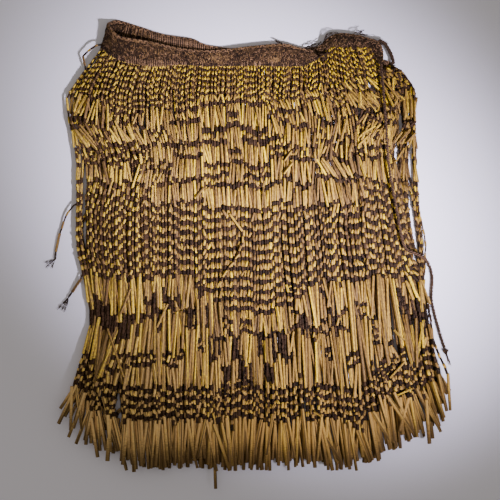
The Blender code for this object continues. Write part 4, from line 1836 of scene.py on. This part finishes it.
STRAYS = (
    # start x, y, z, then what each stretch is, with its end x, y, z and radius
    # out of the fold of the band and back down to the strands
    Stray((-204, 284, 12), (
        (FIBRE, -211, 283.5, 12, 1.6), (TUBE, -215, 282, 12, 1.5), (FIBRE, -221, 278, 11, 1.6),
        (TUBE, -225, 275, 10, 1.5), (FIBRE, -231.5, 269, 9, 1.5), (TUBE, -229, 256, 7, 1.5),
        (FIBRE, -228, 249, 7, 1.3),
    )),
    # the upper broken strand
    Stray((-236, 70, 8), (
        (FIBRE, -244, 67, 7, 1.5), (FIBRE, -250, 60, 6, 1.4), (TUBE, -254.5, 53.5, 5, 1.5),
        (FIBRE, -258, 45, 4, 1.5), (TUBE, -261, 35.5, 3, 1.5), (FIBRE, -263.5, 29, 3, 1.5),
        (TUBE, -269, 4, 2.4, 1.8), (FIBRE, -270, -6.5, 2.2, 1.6),
    )),
    # the lower broken strand
    Stray((-230, -24, 7), ((FIBRE, -235, -31, 6, 1.6),)),
    Stray((-234, -32, 6), (
        (TUBE, -247, -51, 3, 2.0), (FIBRE, -252, -58, 2.6, 1.5),
    )),
    # the far left edge, below the lower broken strand
    Stray((-229, -35, 8), (
        (TUBE, -222, -72, 7, 1.7), (FIBRE, -222, -101, 6, 1.4),
    )),
    Stray((-223, -105, 6), ((TUBE, -227, -142, 5, 1.7),)),
    # the right edge, outside the rest
    Stray((189, 254, 6), (
        (FIBRE, 199, 249, 7, 1.4), (TUBE, 203, 245, 7, 1.3), (FIBRE, 213, 231, 8, 1.4),
        (FIBRE, 217, 223, 8, 1.4),
    )),
    Stray((216, 223, 8), (
        (TUBE, 217, 216, 8, 1.4), (FIBRE, 217.5, 209, 8, 1.4), (TUBE, 218, 181, 8, 1.7),
        (FIBRE, 217, 175, 8, 1.4), (TUBE, 216, 169, 8, 1.3), (FIBRE, 216, 160, 8, 1.4),
        (TUBE, 217, 133, 7, 1.7), (FIBRE, 217.5, 128, 7, 1.4), (TUBE, 221, 99, 5, 1.8),
        (FIBRE, 221, 92, 5, 1.4), (TUBE, 221, 86, 5, 1.4), (FIBRE, 221, 79, 5, 1.4),
        (TUBE, 222, 72, 5, 1.4), (FIBRE, 224, 55, 5, 1.4), (TUBE, 227, 46, 5, 1.5),
        (FIBRE, 229, 35, 5, 1.4), (TUBE, 231, 27, 5, 1.5), (FIBRE, 232, 19, 5, 1.4),
        (TUBE, 233, 11, 5, 1.5), (FIBRE, 232, 2, 5, 1.4), (TUBE, 232, -6, 5, 1.5),
        (FIBRE, 232, -14, 5, 1.4), (TUBE, 232, -20, 5, 1.5), (FIBRE, 231, -28, 5, 1.4),
    )),
    # a strand that swings out behind it
    Stray((208, 101, 5), (
        (FIBRE, 211, 92, 5, 1.3), (TUBE, 214, 82, 5, 1.4), (FIBRE, 217, 73, 5, 1.3),
        (TUBE, 218, 62, 4, 1.4), (FIBRE, 221, 52, 4, 1.3), (TUBE, 223, 41, 4, 1.4),
        (FIBRE, 224, 24, 4, 1.3),
    )),
    # the strand that lies across its neighbours in the middle
    Stray((-33, 55, 21.5), (
        (TUBE, -15.5, 31.5, 21.5, 1.7), (FIBRE, -15, 25, 21.5, 1.4), (TUBE, -15, 16, 21.5, 1.5),
        (FIBRE, -17.5, 12, 21.5, 1.4), (TUBE, -20, 5, 21.5, 1.5), (FIBRE, -20, 1, 21.5, 1.4),
        (TUBE, -25.5, -5.5, 21.5, 1.5), (FIBRE, -27, -10, 21.5, 1.4), (TUBE, -33.5, -16.5, 21.5, 1.5),
        (FIBRE, -36, -21, 21.5, 1.4), (TUBE, -42, -30, 21.2, 1.6), (FIBRE, -44.5, -36, 20.5, 1.4),
        (TUBE, -50, -44, 20, 1.6),
    )),
)

# Bits of straw that lie across the rest: both ends and the radius.
STRAWS = (
    ((-78, 77, 21.2), (-67, 91, 21.2), 1.5), ((183, -166, 20.8), (203, -144, 20.8), 1.6),
    ((193, -189, 20.5), (213, -180, 20.5), 1.5), ((80, -211, 20.5), (92, -218, 20.5), 1.5),
    ((188, -101, 20.8), (202, -115, 20.8), 1.6), ((150, 218, 21.2), (168, 202, 21.2), 1.5),
    ((152, 214, 21.0), (168, 199, 21.0), 1.5), ((174, 236, 21.4), (196, 209, 21.2), 1.5),
    ((177, 222, 21.0), (188, 199, 21.0), 1.5), ((194, 212, 20.5), (189, 201, 20.5), 1.4),
    ((200, 166, 15.0), (189, 151, 14.5), 1.5), ((202, 142, 14.0), (191, 125, 14.0), 1.5),
    ((166, 180, 20.8), (151, 162, 20.8), 1.5), ((151, 168, 21.0), (142, 159, 21.0), 1.5),
    ((158, 164, 21.4), (140, 147, 21.4), 1.5), ((51, 140, 21.0), (41, 126, 21.0), 1.4),
    ((40, 109, 21.4), (52, 124, 21.4), 1.5), ((-166, -45, 21.0), (-180, -80, 21.0), 1.6),
    ((-116, -66, 21.2), (-131, -98, 21.0), 1.6), ((-197, -99, 20.5), (-175, -165, 20.5), 1.7),
)

# Ends of the broken strands, where the fibre has come apart: the foot, then the tips of its threads.
FRAYS = (
    ((-270, -6, 2.2), ((-284, -12, 1.5), (-282, -17, 1.5), (-275, -18, 1.2), (-277, -11, 2.5))),
    ((-252, -58, 2.4), ((-267, -73, 1.5), (-261, -76, 1.2), (-257, -77, 1.2), (-254, -69, 2.4),
                        (-259, -66, 2.6))),
)


# Loose fibre that has come out of the band, as lines of x, y, z.
TANGLES = (
    ((92, 284, 9), (95, 290, 9), (97, 297, 10), (102, 300, 11), (109, 301, 11), (116, 299, 10)),
    ((90, 283, 8), (96, 287, 9), (97, 294, 9), (104, 298, 10), (108, 295, 10)),
    ((134, 297, 10), (138, 300, 11), (143, 302, 11), (147, 300, 11), (150, 296, 10)),
    ((138, 298, 10), (142, 300, 10), (148, 304, 11)),
    ((142, 297, 10), (146, 299, 10), (154, 298, 11)),
    ((68, 279, 7), (73, 281, 8), (79, 282, 9), (86, 284, 9), (92, 286, 9)),
    ((70, 280, 7), (76, 283, 8), (82, 281, 9), (88, 285, 9), (91, 289, 9)),
    ((74, 281, 7), (78, 285, 7), (84, 286, 8)),
    ((29, 289, 9), (33, 288, 8), (38, 285, 8), (44, 283, 8)),
    ((30, 290, 8), (34, 289, 8), (39, 286, 8)),
    ((150, 291, 10), (158, 289, 11), (166, 287, 11), (174, 284, 11)),
    ((158, 290, 10), (166, 290, 11), (172, 288, 11), (180, 280, 9)),
    ((170, 288, 10), (176, 289, 10), (181, 285, 10)),
    ((96, 292, 9), (94, 286, 10), (99, 281, 11), (106, 279, 12)),
)


class Thicket(NamedTuple):
    """A patch of tangled strands: its middle, half its size, its height, how its bits lie, how many."""

    middle: tuple
    half: tuple
    level: float
    heading: float
    spread: float
    length: tuple
    tubes: int
    fibres: int


THICKETS = tuple(Thicket(*row) for row in (
    # middle, half size, level, heading, spread, length, tubes and fibres
    ((186, 245), (12, 6), 13.0, -42, 28, (4, 7), 30, 44),
    ((198, 233), (8, 6), 10.0, -50, 16, (4, 8), 14, 22),
    ((184, 222), (7, 10), 14.0, -62, 14, (17, 26), 9, 12),
    ((196, 217), (6, 6), 11.0, -55, 25, (6, 16), 7, 20),
    ((207, 203), (7, 6), 9.0, -88, 5, (22, 32), 9, 4),
    ((184, 197), (7, 3), 16.0, -75, 25, (4, 8), 7, 16),
    ((187, 186), (8, 2), 16.0, -85, 8, (6, 9), 8, 10),
    ((207, 176), (8, 4), 9.0, -80, 25, (5, 8), 4, 16),
    ((206, 157), (7, 5), 9.0, -118, 10, (15, 24), 7, 6),
    ((95, 268), (5, 3), 17.5, -50, 50, (3, 5), 2, 26),
    ((147, 211), (5, 4), 17.5, -90, 6, (18, 24), 4, 3),
    ((158, 207), (6, 6), 18.5, -52, 16, (13, 22), 6, 3),
    ((164, 184), (10, 5), 19.0, -60, 40, (4, 9), 8, 34),
    ((157, 165), (9, 7), 20.0, -128, 11, (16, 30), 11, 4),
    ((172, 160), (6, 8), 19.5, -112, 10, (12, 22), 8, 6),
))


@dataclass
class Strays:
    """The strands and bits of straw that are out of place."""

    seed: int = 31
    tube_tones: tuple = (0.4, 0.8)
    thicket_tones: tuple = (0.25, 0.85)
    thicket_sizes: tuple = (1.35, 1.9)
    thicket_depth: float = 2.0
    fibre_length: tuple = (4.0, 8.0)
    fray_threads: int = 4
    fray_size: float = 0.42
    fray_spread: tuple = (0.9, 0.4)  # of the tips, and on the way to them
    tangle_threads: int = 3
    tangle_size: tuple = (0.3, 0.5)
    tangle_spread: tuple = (0.7, 0.7, 0.4)
    tangle_bend: tuple = (0.3, 0.3, 0.0)

    def build(self, flax: Material, fibre: Material) -> list:
        """Makes one mesh of the tubes and one of the fibre.

        Args:
            flax: finish of the tubes.
            fibre: finish of the fibre.
        Returns:
            The two pieces.
        """
        chance = Random(self.seed)
        tubes = Copies(tube_template(7))
        threads = Copies(fibre_template(5, 2, 4))
        needles = Copies(needle_template())
        for start, stretches in STRAYS:
            for kind, *end, radius in stretches:
                rolled = kind is TUBE
                tone = chance.uniform(*self.tube_tones) if rolled else chance.random()
                (tubes if rolled else threads).add(start, end, radius, tone)
                start = end
        for start, end, radius in STRAWS:
            tubes.add(start, end, radius, chance.uniform(*self.tube_tones))
        for thicket in THICKETS:
            self._grow(thicket, tubes, threads, chance)
        for foot, tips in FRAYS:
            for tip in tips:
                for _ in range(self.fray_threads):
                    self._thread(needles, np.array(foot), np.array(tip), chance)
        return [joined("stray_tubes", [tubes], flax),
                joined("stray_fibre", [threads, needles], fibre)]

    def _grow(self, thicket: Thicket, tubes: Copies, threads: Copies, chance: Random) -> None:
        """Fills a thicket with lengths of tube and fibre.

        Args:
            thicket: the patch.
            tubes: gets the tubes.
            threads: gets the fibre.
            chance: source of unevenness.
        """
        for number in range(thicket.tubes + thicket.fibres):
            rolled = number < thicket.tubes
            middle = np.array([chance.uniform(-1, 1) * half + at
                               for at, half in zip(thicket.middle, thicket.half)] + [thicket.level])
            middle[2] += chance.uniform(-self.thicket_depth, self.thicket_depth)
            angle = math.radians(chance.gauss(thicket.heading, thicket.spread * (1.0 if rolled else 1.6)))
            size = chance.uniform(*(thicket.length if rolled else self.fibre_length))
            reach = np.array([math.cos(angle), math.sin(angle), chance.gauss(0, 0.08)]) * size / 2
            target = tubes if rolled else threads
            tone = chance.uniform(*self.thicket_tones) if rolled else chance.random()
            target.add(middle - reach, middle + reach, chance.uniform(*self.thicket_sizes), tone)

    def build_tangles(self, material: Material) -> None:
        """Draws loose fibre out of the band as a few threads side by side.

        Args:
            material: their finish.
        """
        chance = Random(self.seed + 1)
        needles = Copies(needle_template(0.8))
        for line in TANGLES:
            for _ in range(self.tangle_threads):
                points = catmull_rom(line, 2.0) + scatter(chance, *self.tangle_spread)
                for point in points:
                    point += scatter(chance, *self.tangle_bend)
                needles.chain(points, chance.uniform(*self.tangle_size), chance.random())
        joined("band_tangles", [needles], material)

    def _thread(self, needles: Copies, foot: np.ndarray, tip: np.ndarray, chance: Random) -> None:
        """Adds one thread of a frayed end, in three spans.

        Args:
            needles: gets the spans.
            foot: where it starts.
            tip: where it ends.
            chance: source of unevenness.
        """
        at_tip, on_way = self.fray_spread
        tip = tip + scatter(chance, at_tip, at_tip, 0.0)
        line = [foot]
        for share in (0.35, 0.7, 1.0):
            spot = foot + (tip - foot) * share
            line.append(spot + scatter(chance, on_way, on_way, 0.0))
        needles.chain(line, self.fray_size, chance.random())


# ------------------------------ tie
@dataclass
class Tie:
    """The long two-ply tie with its knot and frayed tail, and the torn end of the second tie."""

    material: Material
    route: tuple = (
        (171.3, 258.2, 20.6), (171.5, 250, 21.8), (172.6, 239, 22.2), (174.5, 216, 22.2),
        (176.5, 189, 22.2), (179, 155, 22.2), (181.5, 121, 22.2), (187, 87, 22.2), (193.5, 54, 22.2),
        (198.5, 25, 22.2), (204, 9, 22.0), (214, 3, 21.6), (224, -1, 18.0), (233, -7, 9.0), (239, -17, 2.6),
        (242, -31, 1.9), (241.5, -46, 1.9), (241, -60, 1.9), (244, -76, 1.9), (251, -102, 1.9),
        (258.9, -127.3, 2.3))
    knot: tuple = (260.2, -131.0, 2.9)
    tail: tuple = ((261.4, -134.8, 2.3), (264, -142, 1.9), (266.5, -150, 1.9))
    stub: tuple = (
        (169.25, 287.25, 10.0), (171, 289.1, 9.8), (176, 286.5, 9.4), (181, 280, 9), (185.5, 271.5, 8),
        (188.2, 264, 6.9), (188.6, 259, 6.8))
    diameter: float = 3.0
    ply_offset: float = 1.15
    ply_radius: float = 1.05
    raised: tuple = (12.0, 8.0)  # height where it starts to lie on strands, and over how much more
    seat: float = 1.2  # how deep it lies among them
    pitch: float = 8.6
    step: float = 1.2
    lowest: float = 2.4
    stub_ply: tuple = (1.35, 14.0, 1.25)  # offset, pitch and radius of the plies of the torn end,
    tail_ply: tuple = (0.6, 11.0, 0.7)  # and of those of the tail
    tail_taper: float = 0.35
    tail_spread: tuple = (-2.2, 0.0, 1.8)
    knot_size: float = 1.05
    knot_ply: float = 1.15
    fuzz: int = 1500
    fuzz_size: tuple = (0.16, 0.30)
    fuzz_length: tuple = (1.0, 2.2)
    seed: int = 41

    def build(self) -> None:
        middle = catmull_rom(self.route, self.step)
        on_top = np.clip((middle[:, 2] - self.raised[0]) / self.raised[1], 0, 1)
        middle[:, 2] = np.maximum(middle[:, 2] - on_top * self.seat, self.lowest)
        rope = add_tubes("tie_rope", plies(middle, 2, self.ply_offset, self.pitch), self.ply_radius,
                         self.material)
        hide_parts("tie_cord")
        self.build_fuzz(middle)
        knot = self.build_knot()
        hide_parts("tie_knot")
        tail = self.build_tail()
        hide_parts("tie_tail")
        offset, pitch, radius = self.stub_ply
        stub = add_tubes("tie_torn_stub", plies(catmull_rom(self.stub, self.step), 3, offset, pitch),
                         radius, self.material)
        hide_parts("tie_stub")
        self.diameter * MM
        [tuple(p) for p in placed(catmull_rom(self.route, 4.0))]

    def build_fuzz(self, middle: np.ndarray) -> None:
        """Stands short hairs on the cord, more of them near the band.

        Args:
            middle: the cord's middle.
        """
        chance = Random(self.seed)
        hairs = Copies(needle_template())
        for _ in range(self.fuzz):
            spot = int(len(middle) * chance.random() ** 1.4) % (len(middle) - 1)
            way = scatter(chance, 1.0, 0.8, 0.5)
            way[2] = abs(way[2])
            way /= np.linalg.norm(way)
            foot = middle[spot] + way * self.ply_offset
            tip = foot + way * chance.uniform(*self.fuzz_length)
            hairs.add(foot, tip, chance.uniform(*self.fuzz_size), chance.random())
        joined("tie_fuzz", [hairs], self.material)

    def build_knot(self) -> Object:
        """Ties the end in an overhand knot, as a closed trefoil.

        Returns:
            The piece.
        """
        turn = np.linspace(0.0, 2 * math.pi, 61)
        loop = np.stack([np.sin(turn) + 2 * np.sin(2 * turn), np.cos(turn) - 2 * np.cos(2 * turn),
                         -1.2 * np.sin(3 * turn)], axis=1) * self.knot_size
        loop += np.array(self.knot)
        return add_tubes("tie_overhand_knot", [loop], self.knot_ply, self.material)

    def build_tail(self) -> Object:
        """Lets the plies come apart below the knot.

        Returns:
            The piece.
        """
        middle = catmull_rom(self.tail, self.step)
        offset, pitch, radius = self.tail_ply
        routes = [np.hstack([route, np.linspace(1.0, self.tail_taper, len(route))[:, None]])
                  for route in plies(middle, 3, offset, pitch)]
        for route, spread in zip(routes, self.tail_spread):
            route[:, 0] += np.linspace(0.0, 1.0, len(route)) ** 2 * spread
        return add_tubes("tie_frayed_tail", routes, radius, self.material)


# ------------------------------ studio
@dataclass
class Studio:
    """Pale paper, one soft key light, a wide fill overhead and the camera straight above."""

    view_width: float = 0.675
    height: float = 2.2
    look_at: tuple = (0.0, 0.0059, 0.015)
    sensor: float = 36.0
    key_power: float = 1150.0
    key_radius: float = 0.15
    key_from: tuple = (1.10, -0.80, 1.60)
    key_aim: tuple = (0.06, 0.06, 0.0)
    key_cone: float = 15.2
    key_colour: tuple = (1.0, 0.985, 1.12)
    fill_power: float = 5.6
    fill_size: float = 2.4
    fill_from: tuple = (-0.5, 0.4, 2.6)
    fill_colour: tuple = (1.0, 0.98, 0.82)
    world: float = 0.30
    floor_half: float = 3.0
    floor_drop: float = 0.0003

    def build(self) -> None:
        """Makes the floor, lights, world and camera."""
        shape = bmesh.new()
        bmesh.ops.create_grid(shape, x_segments=1, y_segments=1, size=self.floor_half)
        bmesh.ops.translate(shape, vec=(0, 0, -self.floor_drop), verts=shape.verts)
        floor = linked("paper", meshed("paper", shape))
        floor.data.materials.append(PaperFinish().build())
        self._key()
        self._fill()
        world = bpy.data.worlds.new("studio_world")
        world.use_nodes = True
        sky = world.node_tree.nodes["Background"].inputs
        sky["Color"].default_value = (*self.fill_colour, 1.0)
        sky["Strength"].default_value = self.world
        bpy.context.scene.world = world
        self._camera()

    def _key(self) -> None:
        """Adds the key light, a soft-edged spot that is brightest above the middle."""
        lamp = bpy.data.lights.new("key", "SPOT")
        lamp.energy = self.key_power
        lamp.shadow_soft_size = self.key_radius
        lamp.spot_size = math.radians(self.key_cone)
        lamp.spot_blend = 1.0
        lamp.color = self.key_colour
        self._hang(lamp, self.key_from, self.key_aim)

    def _fill(self) -> None:
        """Adds the wide fill light overhead."""
        lamp = bpy.data.lights.new("fill", "AREA")
        lamp.energy = self.fill_power
        lamp.size = self.fill_size
        lamp.color = self.fill_colour
        self._hang(lamp, self.fill_from, self.look_at)

    @staticmethod
    def _hang(lamp: bpy.types.Light, spot: tuple, aim: tuple) -> None:
        """Places a light and turns it to what it lights.

        Args:
            lamp: the light.
            spot: where it hangs.
            aim: the point it lights.
        """
        thing = linked(lamp.name, lamp)
        thing.location = spot
        thing.rotation_euler = (Vector(aim) - Vector(spot)).to_track_quat("-Z", "Y").to_euler()

    def _camera(self) -> None:
        """Looks straight down, with the band at the top of the picture."""
        lens = bpy.data.cameras.new("camera")
        lens.sensor_width = self.sensor
        lens.lens = self.sensor * self.height / self.view_width
        lens.clip_end = 20.0
        camera = linked("camera", lens)
        camera.location = Vector(self.look_at) + Vector((0, 0, self.height))
        bpy.context.scene.camera = camera


def main() -> None:
    """Builds the garment, then the studio."""
    logging.basicConfig(level=logging.INFO, format="%(message)s")
    Studio().build()
    dyed = CordFinish("dyed_cord", (0.009, 0.0045, 0.0033), (0.096, 0.050, 0.030)).build()
    tan = CordFinish("tan_cord", (0.060, 0.030, 0.018), (0.36, 0.195, 0.108)).build()
    brown = CordFinish("brown_cord", (0.006, 0.003, 0.0025), (0.050, 0.024, 0.016)).build()
    Tie(dyed).build()
    form = BandForm()
    band = Waistband(form, FeltFinish().build(), tan, brown)
    felt = band.build_felt()
    band.build_plait()
    band.build_weft()
    band.build_threads()
    band.build_hairs()
    flax = FlaxFinish().build()
    fibre = FibreFinish().build()
    fringes = []
    for row in ROWS:
        fringes += row.build(form, flax, fibre)
    strays = Strays()
    fringes += strays.build(flax, fibre)
    strays.build_tangles(brown)


if __name__ == "__main__":
    main()
